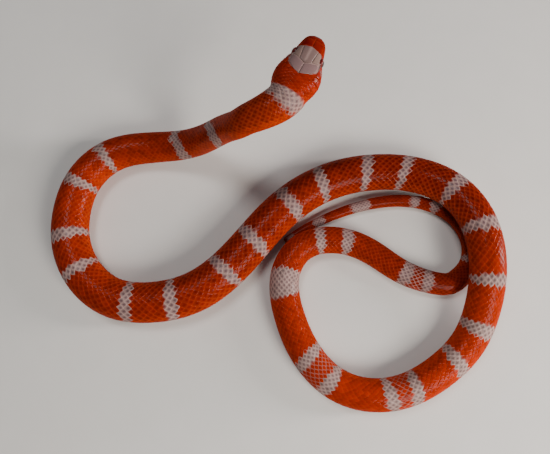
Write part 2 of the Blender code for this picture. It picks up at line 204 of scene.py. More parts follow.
# %% Sections
# Behind the snout, half width, crown and chin, in millimetres
HEAD_PROFILE = np.array([
    (0.3, 1.7, 0.9, 1.3), (0.8, 3.0, 1.9, 1.9), (1.6, 4.1, 2.8, 2.4), (2.6, 4.8, 3.5, 2.8),
    (4.0, 5.4, 4.2, 3.2), (6.0, 6.0, 4.9, 3.6), (8.0, 6.5, 5.4, 3.9), (10.0, 7.1, 5.7, 4.2),
    (12.0, 7.9, 5.9, 4.5), (15.0, 9.1, 6.2, 4.9), (18.0, 10.1, 6.6, 5.4), (21.0, 10.45, 7.0, 6.0),
    (24.0, 10.05, 7.45, 6.8), (28.0, 8.61, 8.18, 8.18),
])
SNOUT_SQUARENESS, NAPE_SQUARENESS = 2.7, 2.0
HEAD_BLUR = 0.6


def section_size(s):
    """Half width, crown height, chin depth, exponent and belly level at distances s.

    On the head they are means of five readings of HEAD_PROFILE, and they shrink as a square
    root over the first 0.3 mm of the snout.
    """
    tip_length = HEAD_PROFILE[0, 0]
    behind = np.clip(s + HEAD_LENGTH, 0.0, HEAD_LENGTH)
    spread = np.linspace(-1, 1, 5) * HEAD_BLUR
    places = np.clip(behind[..., None] + spread, tip_length, HEAD_LENGTH)
    places = np.where(behind[..., None] >= HEAD_LENGTH, HEAD_LENGTH, places)
    head = [np.interp(places, HEAD_PROFILE[:, 0], HEAD_PROFILE[:, k]).mean(-1) for k in (1, 2, 3)]
    tip = np.sqrt(np.clip(behind / tip_length, 0.0, 1.0))
    body = half_width(np.maximum(s, 0.0))
    on_head = s < 0
    half = np.where(on_head, head[0] * tip, body)
    crown = np.where(on_head, head[1] * tip, BACK_RISE * body)
    chin = np.where(on_head, head[2] * tip, BACK_RISE * body)
    share = np.clip(behind / HEAD_LENGTH, 0.0, 1.0)
    power = SNOUT_SQUARENESS + (NAPE_SQUARENESS - SNOUT_SQUARENESS) * share
    floor = np.where(on_head, -chin + (chin - BELLY_DROP * half) * share**4, -BELLY_DROP * body)
    return half, crown, chin, power, floor


def signed_power(value, power):
    """|value| to a power, with its own sign."""
    return np.sign(value) * np.abs(value) ** power


def outline(turn, half, crown, chin, power, floor):
    """Across and up from the axis at an angle from the crown.

    A superellipse: the half width times sin^(2/m) and the height times cos^(2/m), where m is
    the exponent, cut off level with the belly.
    """
    sine, cosine = np.sin(turn), np.cos(turn)
    rise = np.where(cosine > 0, crown, chin) * signed_power(cosine, 2 / power)
    return half * signed_power(sine, 2 / power), np.maximum(rise, floor)


print("widest part of the head:", 2 * HEAD_PROFILE[:, 1].max(), "mm")

# %% Which way is back, left and up at each distance
ROLL_FADE = 92.0
SWING_LENGTH = 14.0


def axis_frames(s):
    """Axis points, backward, left and up at distances s.

    The axis is read from the path. Ahead of its start it runs straight along the head, and
    moves over to the head joint's line within 14 mm. Left is backward x vertical, up is left x
    backward, and both are turned by the head's roll, which fades as (1 - s/92)^2.
    """
    point = np.array([np.interp(s, path_distance, path_axis[:, k]) for k in range(3)]).T
    ahead = np.clip(-s, 0, None)[:, None]
    lowered = (HEAD_JOINT - path_axis[0]) * smooth_step(0, SWING_LENGTH, ahead)
    point = np.where(s[:, None] < 0, path_axis[0] + ahead * HEAD_FORWARD + lowered, point)
    ends = [np.array([np.interp(s + d, path_distance, path_axis[:, k]) for k in range(3)]).T
            for d in (-1.0, 1.0)]
    backward = unit(np.where(s[:, None] < 1.0, -HEAD_FORWARD, ends[1] - ends[0]))
    left = unit(np.cross(backward, [0.0, 0.0, 1.0]))
    up = np.cross(left, backward)
    fade = np.clip(1 - np.maximum(s, 0) / ROLL_FADE, 0, 1) ** 2
    roll = (HEAD_ROLL * fade)[:, None]
    rolled = np.cos(roll) * left + np.sin(roll) * up
    return point, backward, rolled, np.cross(rolled, backward)


print("the tail tip points", -axis_frames(np.array([BODY_LENGTH]))[1][0].round(2))

# %% The table of points and normals
snout_s = -HEAD_LENGTH + 4.0 * np.linspace(0, 1, 48) ** 2
grid_s = np.concatenate([snout_s, np.arange(-23.7, BODY_LENGTH, 0.45), [BODY_LENGTH]])
grid_turn = np.radians(np.arange(-181, 542, 1.5))
grid_axis, _, grid_left, grid_up = axis_frames(grid_s)
across, rise = outline(grid_turn[None], *(v[:, None] for v in section_size(grid_s)))
table = (
    grid_axis[:, None] + across[..., None] * grid_left[:, None] + rise[..., None] * grid_up[:, None]
)
normals = np.cross(np.gradient(table, axis=1), np.gradient(table, axis=0))
outward = np.sum(normals * (table - grid_axis[:, None]), axis=-1, keepdims=True)
normals = normals * np.sign(outward + 1e-12)
normals[0] = HEAD_FORWARD
normals = unit(normals + 1e-12 * HEAD_FORWARD)
print("surface table:", table.shape[0], "x", table.shape[1])


def on_surface(s, turn, lift):
    """Points at distances s and angles turn, moved out along the normal by lift.

    Reads the table between its four nearest entries, each weighted by how near it is.
    """
    row = np.interp(s, grid_s, np.arange(len(grid_s)))
    column = (turn - grid_turn[0]) / (grid_turn[1] - grid_turn[0])
    i = np.clip(row.astype(int), 0, len(grid_s) - 2)
    j = np.clip(column.astype(int), 0, len(grid_turn) - 2)
    fi, fj = (row - i)[..., None], (column - j)[..., None]

    def between(values):
        near = values[i, j] * (1 - fj) + values[i, j + 1] * fj
        far = values[i + 1, j] * (1 - fj) + values[i + 1, j + 1] * fj
        return near * (1 - fi) + far * fi

    return between(table) + np.asarray(lift)[..., None] * unit(between(normals))


def coat_depth(s):
    """How deep the scales are: 0.3 mm on the head, 0.42 on the body, less on the thin tail."""
    full_depth_from = 8.0
    share = np.clip(section_size(s)[0] / full_depth_from, 0.22, 1.0)
    return np.interp(s, [-28, -10, 6], [0.28, 0.32, 0.42]) * share


print("coat:", coat_depth(np.array([-20.0, 300.0, 900.0])).round(2), "mm on head, body and tail")

# %% [markdown]
# ## The markings
#
# A milk snake's pattern is bands of pale scales across a red body. On this one they come in
# pairs, a short orange stretch between two bands and a longer one before the next pair. The
# pattern could be painted, but here it is a rule: each band has its middle, its length and how
# far it leans over. Skin and scales ask the same rule, so no scale disagrees with what is under
# it. The bands of a real snake end along the edges of scales, in steps, so a scale asks mostly
# for its own middle and only partly for each of its points.

# %% Where the bands are
# Middle, length, and lean in millimetres over 50 degrees to the left
BANDS = np.array([
    (140.5, 5.6, 0.5), (161.5, 5.6, 0),
    (192, 6.5, 0.3), (213, 6, 0), (247, 6, 0.5), (270.5, 6.5, -1), (302.5, 6, 0.5),
    (325, 6.5, -1), (353.5, 7, -0.5), (375, 6, -1), (401.5, 6, -2), (423.5, 6, -2),
    (453, 6.5, 0), (478, 6.5, -0.5), (505.5, 6, 0), (532.5, 8, 0), (554.5, 7.5, -1),
    (581, 6.5, -1), (594.5, 6.5, 1), (627, 6.5, -0.3), (643.5, 6.5, 1.5), (685, 16, 1),
    (718.5, 5.6, -0.5), (733.5, 6.2, 0.3), (770.5, 7, 0), (782.5, 6, 0), (815.5, 6, 0),
    (855, 6.2, 0), (867, 6, 0), (898.5, 12, 0), (924.3, 7.5, 0), (943, 5, 0),
])
MOST_LEAN, BAND_TRIM, LONG_BAND = 1.6, 0.4, 9.5
# The two bands that bend: middle, half length, more on the right, lead there, lag below
BENT = [(57, 3.0, 2.2, 8.5, 4), (94.5, 3.3, 0.5, 5.5, 0)]
# The band behind the head: front and rear at the crown, and how each moves with a degree
NAPE_FRONT, NAPE_REAR = (0.25, -0.008), (6.2, 0.028)
# Where close bands have pale rims between them: middle, reach, share
NETTED = [(587.5, 4.5, 0.5), (635.0, 5.5, 0.55), (776.5, 4.5, 1.0)]
# Distance, and how orange the red is there: 0 for deep red and 1 for orange. The rises and falls
# along the body are partly the snake's own orange and red stretches and partly painted light and
# shade: deeper red where the coils lie in shade, more orange where they are lit.
WARMTH_AND_SHADE = np.array([
    (-28, 0.28), (-18, 0.40), (-6, 0.42), (10, 0.22), (60, 0.25), (100, 0.38), (150, 0.50),
    (190, 0.36), (260, 0.30), (330, 0.18), (364, 0.32), (400, 0.08), (440, 0.02), (470, 0.16),
    (520, 0.68), (560, 0.78), (620, 0.60), (700, 0.46), (760, 0.20), (800, 0.12), (948, 0.22),
])
print("bands:", len(BANDS) + len(BENT) + 1)

# %% The rule for the bands


def wrap(turn):
    """Angles brought between -180 and 180 degrees, in radians."""
    return (turn + math.pi) % (2 * math.pi) - math.pi


def band_depth(s, turn):
    """How far inside its nearest band a place is, in millimetres; negative outside.

    Half the band's length less the distance from its middle, which moves with the lean.
    """
    degrees = np.degrees(wrap(turn))
    lean = np.clip(degrees / 50.0, -MOST_LEAN, MOST_LEAN)[..., None]
    # Short bands grow much thinner down the sides, long ones a little
    low = smooth_step(20, 100, np.abs(degrees))[..., None]
    half = BANDS[:, 1] / 2 * (1 - np.where(BANDS[:, 1] < LONG_BAND, 0.5, 0.25) * low) - BAND_TRIM
    middles = BANDS[:, 0] + BANDS[:, 2] * lean
    inside = np.max(half - np.abs(s[..., None] - middles), axis=-1)
    # The band behind the head is longer on the left side than on the right
    closing = 3 * smooth_step(95, 112, np.abs(degrees))
    front = NAPE_FRONT[0] + NAPE_FRONT[1] * degrees + closing
    rear = NAPE_REAR[0] + NAPE_REAR[1] * degrees - closing
    inside = np.maximum(inside, np.minimum(s - front, rear - s))
    # The next two bend where the neck climbs: forward on the right side, back under it
    right = smooth_step(20, -35, degrees) * smooth_step(-135, -85, degrees)
    below = smooth_step(-85, -135, degrees) + smooth_step(120, 180, degrees)
    for middle, reach, more, forward, back in BENT:
        place = middle - forward * right + back * below
        inside = np.maximum(inside, reach + more * right - np.abs(s - place))
    return inside


def netted(s):
    """How pale the rims of red scales are in three short stretches between close bands.

    A stretch's share, falling softly to 0 about its reach on each side of its middle.
    """
    parts = [share * smooth_step(-1.0, 0.5, reach - np.abs(s - middle))
             for middle, reach, share in NETTED]
    return np.max(parts, axis=0)


along_back = np.arange(0, BODY_LENGTH, 0.1)
pale_share = np.mean(band_depth(along_back, 0 * along_back) > 0)
print("pale share of the back:", round(float(pale_share), 2))

# %% Warmth of the red with painted light and shade, and the net that its scales' rims make


def flank(turn):
    """0 on the back and 1 low on the side."""
    return smooth_step(math.radians(25), math.radians(110), np.abs(wrap(turn)))


def warmth_and_shade(s, turn):
    """0 for deep red and 1 for orange.

    The table's value along the body, partly painted light and shade, plus 0.35 (flank - 0.3),
    plus 0.3 of painted light low on the neck's right side, where the light falls.
    """
    neck = smooth_step(0, 12, s) * (1 - smooth_step(70, 110, s))
    # Painted light: the low right side of the neck, where the light falls, is made more orange
    painted_light_low_right = smooth_step(math.radians(-52), math.radians(-66), wrap(turn)) * neck
    along = np.interp(s, WARMTH_AND_SHADE[:, 0], WARMTH_AND_SHADE[:, 1])
    return np.clip(along + 0.35 * (flank(turn) - 0.3) + 0.3 * painted_light_low_right, 0, 1)


def net(s, turn):
    """How strongly the rims of red scales stand out in orange: most on the neck and low down."""
    neck = smooth_step(0, 10, s) * (1 - smooth_step(50, 110, s))
    nape = 1 - smooth_step(-8, 4, s)
    return np.clip(0.24 + 0.45 * flank(turn) * (1 - nape) + 0.2 * neck - 0.12 * nape, 0, 1)


dice = np.random.default_rng(7)
print("warmth from", WARMTH_AND_SHADE[:, 1].min(), "to", WARMTH_AND_SHADE[:, 1].max())

# %% [markdown]
# ## Making a mesh from arrays
#
# Every piece below ends as a list of points and a list of faces, so one helper puts them into
# Blender. Faces could be added one at a time, but there are hundreds of thousands, and whole
# arrays go in at once. The helper also stores what the materials read: how pale a point is,
# how near it is to its scale's rim, how orange that rim is, how warm its red is (which is partly
# painted light and shade), a chance difference from scale to scale, and how much painted shade
# darkens a pit or groove. A map called OFBake spreads the skin flat in four strips.

# %% Mesh helper
STRIPS = 4
STRIP_LENGTH = (BODY_LENGTH + HEAD_LENGTH) / STRIPS
ATTRIBUTES = ("paleness", "rim", "net", "warmth_and_shade", "chance", "pit_shade")


def unrolled(s, turn, strip=None):
    """Place on the flat map: u along the strip, v round the body, four strips one above another.

    The skin's faces say which strip they are in. Every other place finds its own.
    """
    along = (s + HEAD_LENGTH) / STRIP_LENGTH
    if strip is None:
        strip, turn = np.clip(np.floor(along), 0, STRIPS - 1), wrap(turn)
    around = (turn / (2 * math.pi) + 0.5) * 0.94 + 0.03
    return np.stack([0.01 + 0.98 * (along - strip), (strip + around) / STRIPS], axis=-1)


def make_piece(name, points, corners, sizes, values, flat_map, material, flat_faces=None):
    """A mesh object from points in millimetres, face corners, face sizes and stored values."""
    mesh = bpy.data.meshes.new(name)
    mesh.vertices.add(len(points))
    mesh.vertices.foreach_set("co", (points * MM).astype(np.float32).ravel())
    mesh.loops.add(len(corners))
    mesh.loops.foreach_set("vertex_index", corners.astype(np.int32))
    starts = np.concatenate([[0], np.cumsum(sizes)[:-1]]).astype(np.int32)
    mesh.polygons.add(len(sizes))
    mesh.polygons.foreach_set("loop_start", starts)
    mesh.update(calc_edges=True)
    smooth = np.ones(len(sizes), dtype=bool)
    if flat_faces is not None:
        smooth[flat_faces] = False
    mesh.polygons.foreach_set("use_smooth", smooth)
    for key in ATTRIBUTES:
        stored = mesh.attributes.new(key, "FLOAT", "POINT")
        value = np.broadcast_to(values.get(key, 0.0), (len(points),)).astype(np.float32)
        stored.data.foreach_set("value", np.ascontiguousarray(value))
    layer = mesh.uv_layers.new(name="OFBake")
    layer.data.foreach_set("uv", flat_map.astype(np.float32).ravel())
    mesh.materials.append(material)
    mesh.update()
    piece = bpy.data.objects.new(name, mesh)
    bpy.context.scene.collection.objects.link(piece)
    print(name, len(points), "points,", int(np.sum(sizes - 2)), "triangles")
    return piece


print("flat map:", STRIPS, "strips, each for", round(STRIP_LENGTH), "mm of snake")

# %% [markdown]
# ## The finish of a scale
#
# A scale is smooth horn over coloured skin. It could be one glossy plastic, but its deep red
# would then pale all over under the lamps. So it is a coloured body with a thin clear coat: the
# body takes no shine of its own, and the glints come from the coat. Red scales are darkest in
# the middle, with a thin orange rim. Pale scales are grey or lilac in the middle and a light
# pink at the rim. Very fine noise breaks the colour inside each scale, as pigment does.

# %% Node helpers


def new_material(name):
    """A material with its node tree and its shader."""
    material = bpy.data.materials.new(name)
    material.use_nodes = True
    return material, material.node_tree, material.node_tree.nodes["Principled BSDF"]


def node(tree, kind, **settings):
    """Adds a node of a kind and sets its properties."""
    made = tree.nodes.new(kind)
    for key, value in settings.items():
        setattr(made, key, value)
    return made


def feed(tree, value, socket):
    """Links a socket to a socket, or sets a plain value on it."""
    if isinstance(value, bpy.types.NodeSocket):
        tree.links.new(value, socket)
    else:
        socket.default_value = value


def stored(tree, name):
    """The stored value of that name, as a socket."""
    return node(tree, "ShaderNodeAttribute", attribute_name=name).outputs["Fac"]


def colour_mix(tree, share, first, second, how="MIX"):
    """Mixes two colours, each a socket or a plain colour, by a share."""
    mixer = node(tree, "ShaderNodeMix", data_type="RGBA", blend_type=how)
    for index, value in ((0, share), (6, first), (7, second)):
        feed(tree, value, mixer.inputs[index])
    return mixer.outputs[2]


def sums(tree, how, first, second, clamp=False):
    """One step of arithmetic between two values or sockets."""
    step = node(tree, "ShaderNodeMath", operation=how, use_clamp=clamp)
    feed(tree, first, step.inputs[0])
    feed(tree, second, step.inputs[1])
    return step.outputs[0]


def noise(tree, scale, detail):
    """Noise in the object's own space, at so many lumps to the metre."""
    made = node(tree, "ShaderNodeTexNoise")
    made.inputs["Scale"].default_value = scale
    made.inputs["Detail"].default_value = detail
    tree.links.new(node(tree, "ShaderNodeTexCoord").outputs["Object"], made.inputs["Vector"])
    return made.outputs["Fac"]


print("stored values that the finishes read:", ", ".join(ATTRIBUTES))

# %% The scale material
DEEP_RED = (0.090, 0.0006, 0.0001, 1)
ORANGE_RED = (0.42, 0.020, 0.0004, 1)
ORANGE_RIM = (0.46, 0.048, 0.003, 1)
LILAC = (0.096, 0.054, 0.068, 1)
WARM_GREY = (0.150, 0.096, 0.078, 1)
PINK_RIM = (0.300, 0.190, 0.168, 1)
PALE_RIM = (0.480, 0.335, 0.300, 1)
# Nearly black, painted as shade into the mouth's groove, the eye's cup and the nostril
PIT_SHADE = (0.010, 0.002, 0.002, 1)
PIGMENT, BLOTCHES, STREAKS = 2600.0, 240.0, 3200.0
RELIEF_DEPTH = 0.00006


def scale_material(name, roughness, coat, bump):
    """Coloured horn with a clear coat, coloured by the values stored in the mesh.

    The colour is the mix of red and pale by paleness, times 0.62 + 0.34 chance + 0.42 noise.
    """
    material, tree, shader = new_material(name)
    fine, broad = noise(tree, PIGMENT, 3.0), noise(tree, BLOTCHES, 2.0)
    # The stored warmth is partly the snake's own tone and partly painted light and shade: it turns
    # the red towards orange, and the pale scales towards warm grey with a lighter rim
    heat = stored(tree, "warmth_and_shade")
    drift = sums(tree, "MULTIPLY", sums(tree, "SUBTRACT", broad, 0.5), 0.5)
    warm = sums(tree, "ADD", heat, drift, clamp=True)
    red = colour_mix(tree, warm, DEEP_RED, ORANGE_RED)
    red = colour_mix(tree, stored(tree, "net"), red, ORANGE_RIM)
    middle = colour_mix(tree, heat, LILAC, WARM_GREY)
    border = colour_mix(tree, heat, PINK_RIM, PALE_RIM)
    pale = colour_mix(tree, stored(tree, "rim"), middle, border)
    colour = colour_mix(tree, stored(tree, "paleness"), red, pale)
    light = sums(tree, "ADD", sums(tree, "MULTIPLY", stored(tree, "chance"), 0.34),
                 sums(tree, "MULTIPLY", fine, 0.42))
    colour = colour_mix(tree, 1.0, colour, sums(tree, "ADD", light, 0.62), how="MULTIPLY")
    # Painted shade: the colour goes nearly black in the mouth's groove, round the eye and in the
    # nostril
    colour = colour_mix(tree, stored(tree, "pit_shade"), colour, PIT_SHADE)
    tree.links.new(colour, shader.inputs["Base Color"])
    rough = sums(tree, "ADD", sums(tree, "MULTIPLY", fine, 0.16), roughness - 0.08)
    tree.links.new(rough, shader.inputs["Roughness"])
    shader.inputs["Coat Weight"].default_value = coat
    shader.inputs["Coat Roughness"].default_value = 0.21
    shader.inputs["Specular IOR Level"].default_value = 0.0
    relief = node(tree, "ShaderNodeBump")
    relief.inputs["Strength"].default_value = bump
    relief.inputs["Distance"].default_value = RELIEF_DEPTH
    tree.links.new(fine, relief.inputs["Height"])
    tree.links.new(relief.outputs["Normal"], shader.inputs["Normal"])
    return material


scale_horn = scale_material("glossy scale horn", 0.42, 0.13, 0.25)
shield_horn = scale_material("head shield horn", 0.36, 0.16, 0.25)
scute_horn = scale_material("belly scute horn", 0.40, 0.10, 0.25)
soft_skin = scale_material("skin between the scales", 0.55, 0.05, 0.6)
print("finishes:", [m.name for m in (scale_horn, shield_horn, scute_horn, soft_skin)])

# %% [markdown]
# ## The skin under the scales
#
# Between and under the scales is one soft skin. The solids could be kept and coloured, but they
# have flat facets and thin gaps between them. So the skin stands in for all the solids of head,
# neck, body and tail, and lies inside them by the depth of the coat, so the scales end where
# the solids do. It is the surface above, read on a plain grid, with the mouth drawn in as a
# groove and a cup where each eye sits. At each end a very small ring is closed by one face.

# %% Mouth, eye sockets and nostrils
MOUTH_FRONT, MOUTH_BACK, MOUTH_CORNER = math.radians(104), math.radians(97), 22.0
GROOVE_WIDTH = math.radians(2.2)
# Behind the snout, off the middle and above the axis
EYE, NOSTRIL = (10.7, 5.7, 1.7), (2.5, 4.75, 1.0)
EYE_RADIUS = 2.2


def mouth_turn(behind):
    """Angle of the mouth's line: from 104 degrees at the snout to 97 at its corner."""
    return MOUTH_FRONT + (MOUTH_BACK - MOUTH_FRONT) * np.clip(behind / MOUTH_CORNER, 0, 1)


def head_place(s, turn):
    """Behind the snout, off the middle and above the head's axis, for places on the head."""
    across, rise = outline(turn, *section_size(s))
    return s + HEAD_LENGTH, across, rise


def hollows(s, turn):
    """How much lower the surface lies round the eye and in the nostril, in millimetres.

    Full depth near the middle of each, and a soft step up to the surface round it.
    """
    behind, _, rise = head_place(s, turn)
    to_eye, to_nostril = (np.hypot(behind - spot[0], rise - spot[2]) for spot in (EYE, NOSTRIL))
    eye = 1.1 * (1 - smooth_step(1.95, 2.55, to_eye))
    nostril = 0.75 * (1 - smooth_step(0.25, 0.62, to_nostril))
    on_side = (np.abs(np.sin(turn)) > 0.5) & (s < -12)
    return np.where(on_side, np.maximum(eye, nostril), 0.0)


def mouth_groove(s, turn):
    """1 along the line of the mouth and 0 away from it, falling as exp(-x^2)."""
    behind = s + HEAD_LENGTH
    off = np.abs(np.abs(wrap(turn)) - mouth_turn(behind))
    fade = 1 - smooth_step(MOUTH_CORNER, MOUTH_CORNER + 1.5, behind)
    return np.exp(-((off / GROOVE_WIDTH) ** 2)) * fade * smooth_step(0.0, 0.6, behind)


print("the mouth's corner is", MOUTH_CORNER, "mm behind the snout, the eyes", EYE[0], "mm")

# %% Colours of the head
CAP_FRONT, CAP_REAR, CAP_CURVE = 6.75, 20.1, 0.085


def head_paleness(behind, off_middle, turn):
    """The pale cap over the crown, the rostral's pale patch, and a pale spot behind the eye."""
    front = CAP_FRONT + 0.25 * np.abs(off_middle)
    rear = CAP_REAR - CAP_CURVE * off_middle**2
    outer = np.interp(behind, [6, 8, 12, 15, 17, 20.3], [4.9, 5.2, 6.9, 7.1, 6.6, 2.5])
    cap = smooth_step(-0.12, 0.12, behind - front) * smooth_step(-0.12, 0.12, rear - behind)
    cap = cap * smooth_step(-0.15, 0.15, outer - np.abs(off_middle))
    above = np.cos(turn) > 0
    tip = 0.6 * (1 - smooth_step(0.9, 1.5, behind)) * (np.abs(off_middle) < 1.5)
    side_spot = np.hypot((behind - 14.4) / 1.6, (np.abs(np.degrees(turn)) - 66) / 11.0)
    spot = 0.7 * (1 - smooth_step(0.6, 1.1, side_spot))
    lower = 0.55 * smooth_step(math.radians(112), math.radians(135), np.abs(turn))
    return np.maximum(np.where(above, np.maximum(np.maximum(cap, tip), spot), 0.0), lower)


def skin_paleness(s, turn):
    """The same rule for every piece: bands on the body, cap and spots on the head."""
    body = smooth_step(-0.4, 0.4, band_depth(s, turn))
    behind, off_middle, _ = head_place(np.minimum(s, 0.0), turn)
    head = head_paleness(behind, off_middle, wrap(turn))
    return np.where(s < -6.5, np.maximum(head, body), body)


print("the pale cap is", round(CAP_REAR - CAP_FRONT, 1), "mm long")

# %% The skin's grid
ROUND = 64
head_rings = -HEAD_LENGTH + np.concatenate([
    np.array([0.02, 0.08, 0.18, 0.32, 0.5, 0.72, 1.0]), np.arange(1.3, 28.0, 0.42)
])
body_rings = np.arange(0.3, BODY_LENGTH - 0.3, 1.35)
tail_cap = BODY_LENGTH - np.array([0.25, 0.1, 0.02])
ring_s = np.concatenate([head_rings, body_rings, tail_cap])
# A ring lies exactly where one strip of the flat map ends and the next begins
for cut in np.arange(1, STRIPS) * STRIP_LENGTH - HEAD_LENGTH:
    ring_s[np.argmin(np.abs(ring_s - cut))] = cut
ring_turn = np.linspace(-math.pi, math.pi, ROUND, endpoint=False)
skin_s, skin_turn = np.meshgrid(ring_s, ring_turn, indexing="ij")
skin_lift = -coat_depth(skin_s) - hollows(skin_s, skin_turn) - 0.5 * mouth_groove(skin_s, skin_turn)
shrink = np.clip((BODY_LENGTH - skin_s) / 0.5, 0.02, 1.0)[..., None]
skin_points = on_surface(skin_s, skin_turn, skin_lift)
axis_here = axis_frames(ring_s)[0][:, None]
skin_points = np.where(
    shrink < 1, axis_here + (skin_points - axis_here) * shrink**0.5, skin_points
)
print("skin:", len(ring_s), "rings of", ROUND, "points")

# %% The skin's faces and its flat map


def grid_faces(rows, columns):
    """Quads between neighbouring rows of a closed ring grid, outward for turns to the left."""
    i, j = np.meshgrid(np.arange(rows - 1), np.arange(columns), indexing="ij")
    k = (j + 1) % columns
    quads = np.stack([i * columns + j, i * columns + k, (i + 1) * columns + k,
                      (i + 1) * columns + j], axis=-1)
    return quads.reshape(-1, 4), i.ravel(), j.ravel()


quads, quad_row, quad_column = grid_faces(len(ring_s), ROUND)
first_ring = np.arange(ROUND)
ends = np.concatenate([first_ring[::-1], (len(ring_s) - 1) * ROUND + first_ring])
corners = np.concatenate([quads.ravel(), ends])
sizes = np.concatenate([np.full(len(quads), 4), [ROUND, ROUND]])
quad_strip = np.floor((ring_s[quad_row] + 0.01 + HEAD_LENGTH) / STRIP_LENGTH).clip(0, STRIPS - 1)
corner_s = ring_s[quad_row[:, None] + [0, 0, 1, 1]]
corner_turn = ring_turn[quad_column][:, None] + np.array([0, 1, 1, 0]) * (2 * math.pi / ROUND)
skin_map = np.concatenate([
    unrolled(corner_s, corner_turn, quad_strip[:, None]).reshape(-1, 2),
    unrolled(skin_s.ravel()[ends], skin_turn.ravel()[ends]),
])
flat_s, flat_turn = skin_s.ravel(), skin_turn.ravel()
skin = make_piece(
    "skin", skin_points.reshape(-1, 3), corners, sizes,
    {
        "paleness": skin_paleness(flat_s, flat_turn),
        "rim": 0.7,
        "net": 0.6 * net(flat_s, flat_turn),
        "warmth_and_shade": warmth_and_shade(flat_s, flat_turn),
        "chance": 0.3,
        # Painted shade: the mouth's groove, the cup round each eye and the nostrils are darkened
        "pit_shade": np.maximum(
            mouth_groove(flat_s, flat_turn),
            np.where(hollows(flat_s, flat_turn) > 0.3, 0.9, 0.0),
        ),
    },
    skin_map, soft_skin,
)
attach(skin, "root")
flesh = [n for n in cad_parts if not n.startswith("eye")]
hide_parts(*flesh)

# %% [markdown]
# ## The scales of the back and sides
#
# A milk snake has some 21 to 23 rows of smooth scales round the middle of its body, and each
# row is shifted half a scale against the next. Each scale is a rounded lozenge, rooted at its
# front and free at its rear, where it lies over the two behind it. Scales could be a pattern of
# bumps on the skin, but only real ones lie over one another and catch the light one by one. One
# small lozenge of 37 faces is worked out once. It is then laid down thousands of times by
# arithmetic on whole arrays: its points are distances and angles on the surface, so it bends
# round the body by itself and crowds together inside a bend, as real scales do.

# %% One lozenge
EDGE_STEPS = np.array([-1.0, -0.87, -0.48, 0.0, 0.48, 0.87, 1.0])
CELLS = len(EDGE_STEPS) - 1
ROUNDNESS = 1.28
FRONT_REACH, REAR_REACH, SIDE_REACH = 0.76, 0.57, 1.07


def lozenge(steps, roundness):
    """Points of a rounded lozenge that fills a unit diamond, and how near each is to the rim.

    A square grid is turned by 45 degrees, and each point is pushed out until the rim follows
    |x|^m + |y|^m = 1, where m is the roundness.
    """
    u, v = np.meshgrid(steps, steps, indexing="ij")
    x, y = (u + v) / 2, (u - v) / 2
    angle = np.arctan2(y, x)
    east, north = np.abs(np.cos(angle)), np.abs(np.sin(angle))
    diamond = 1 / (east + north)
    rounded = (east**roundness + north**roundness) ** (-1 / roundness)
    grow = rounded / diamond
    return x * grow, y * grow, np.maximum(np.abs(u), np.abs(v))


def lozenge_lift(x, rho):
    """Height of a scale in coat depths: it rises from its root, is domed, and has a thick rim.

    -0.52 + 0.17 (x + 1) + 0.17 (1 - rho^2.2), and 0.26 lower on the rim itself.
    """
    return -0.52 + 0.17 * (x + 1) + 0.17 * (1 - rho**2.2) - 0.26 * (rho > 0.99)


LOZENGE_X, LOZENGE_Y, LOZENGE_RHO = (g.ravel() for g in lozenge(EDGE_STEPS, ROUNDNESS))
print("one scale:", CELLS**2 + 1, "faces")

# %% Faces of a sheet that is closed underneath


def sheet_faces(rows, columns):
    """A sheet's quads, and the one face along its edge that closes it underneath."""
    i, j = np.meshgrid(np.arange(rows - 1), np.arange(columns - 1), indexing="ij")
    a = i * columns + j
    quads = np.stack([a, a + 1, a + columns + 1, a + columns], axis=-1).reshape(-1, 4)
    top, bottom = np.arange(columns), (rows - 1) * columns + np.arange(columns)
    side = np.arange(1, rows - 1) * columns
    under = np.concatenate([top, side + columns - 1, bottom[::-1], side[::-1]])[::-1]
    return quads, under


def repeat_faces(quads, under, count, points_each, flip=False):
    """The faces of one shape repeated, as flat corner and size arrays and the closing faces."""
    if flip:
        quads, under = quads[:, ::-1], under[::-1]
    one = np.concatenate([quads.ravel(), under])
    sizes = np.concatenate([np.full(len(quads), 4), [len(under)]])
    corners = (one[None] + (np.arange(count) * points_each)[:, None]).ravel()
    closing = np.arange(count) * len(sizes) + len(quads)
    return corners, np.tile(sizes, count), closing


print("corners of the closing face:", len(sheet_faces(CELLS + 1, CELLS + 1)[1]))

# %% Where each scale's middle is
# Distance, and how long a scale is there
PITCH = np.array([
    (-14, 1.5), (0, 1.65), (15, 1.9), (30, 2.7), (45, 3.9), (58, 3.9), (80, 3.4), (200, 3.6),
    (330, 3.75), (500, 3.7), (640, 3.1), (760, 2.85), (810, 2.7), (860, 2.4), (910, 2.1),
    (950, 1.6),
])
# From, to, and how many rows go round the back and sides
ROW_ZONES = [(-14, 690, 23), (690, 790, 21), (790, 825, 19), (825, 850, 17), (850, 880, 15),
             (880, 915, 13), (915, 950, 11)]
BACK_COVER = math.radians(127)
SHIELDS_END, COVERED = 20.2, 0.6
PLACE_CHANCE, ROW_CHANCE = 0.035, 0.03
count_s = np.arange(-16, BODY_LENGTH + 4, 0.25)
count_step = 0.25 / np.interp(count_s[:-1], PITCH[:, 0], PITCH[:, 1])
count_n = np.concatenate([[0], np.cumsum(count_step)])
row_numbers = np.arange(int(count_n[-1]) + 1)


def row_turn(row, rows, s):
    """Angle of a row: even steps at the nape, and narrower ones along the back behind it.

    The angle that the rows cover, times (1 - c) x + c x^2, where x is the row's share of them.
    """
    narrow = np.interp(s, [5, 40], [0.03, 0.15])
    share = np.abs(row) / (rows / 2)
    return np.sign(row) * BACK_COVER * ((1 - narrow) * share + narrow * share**2)


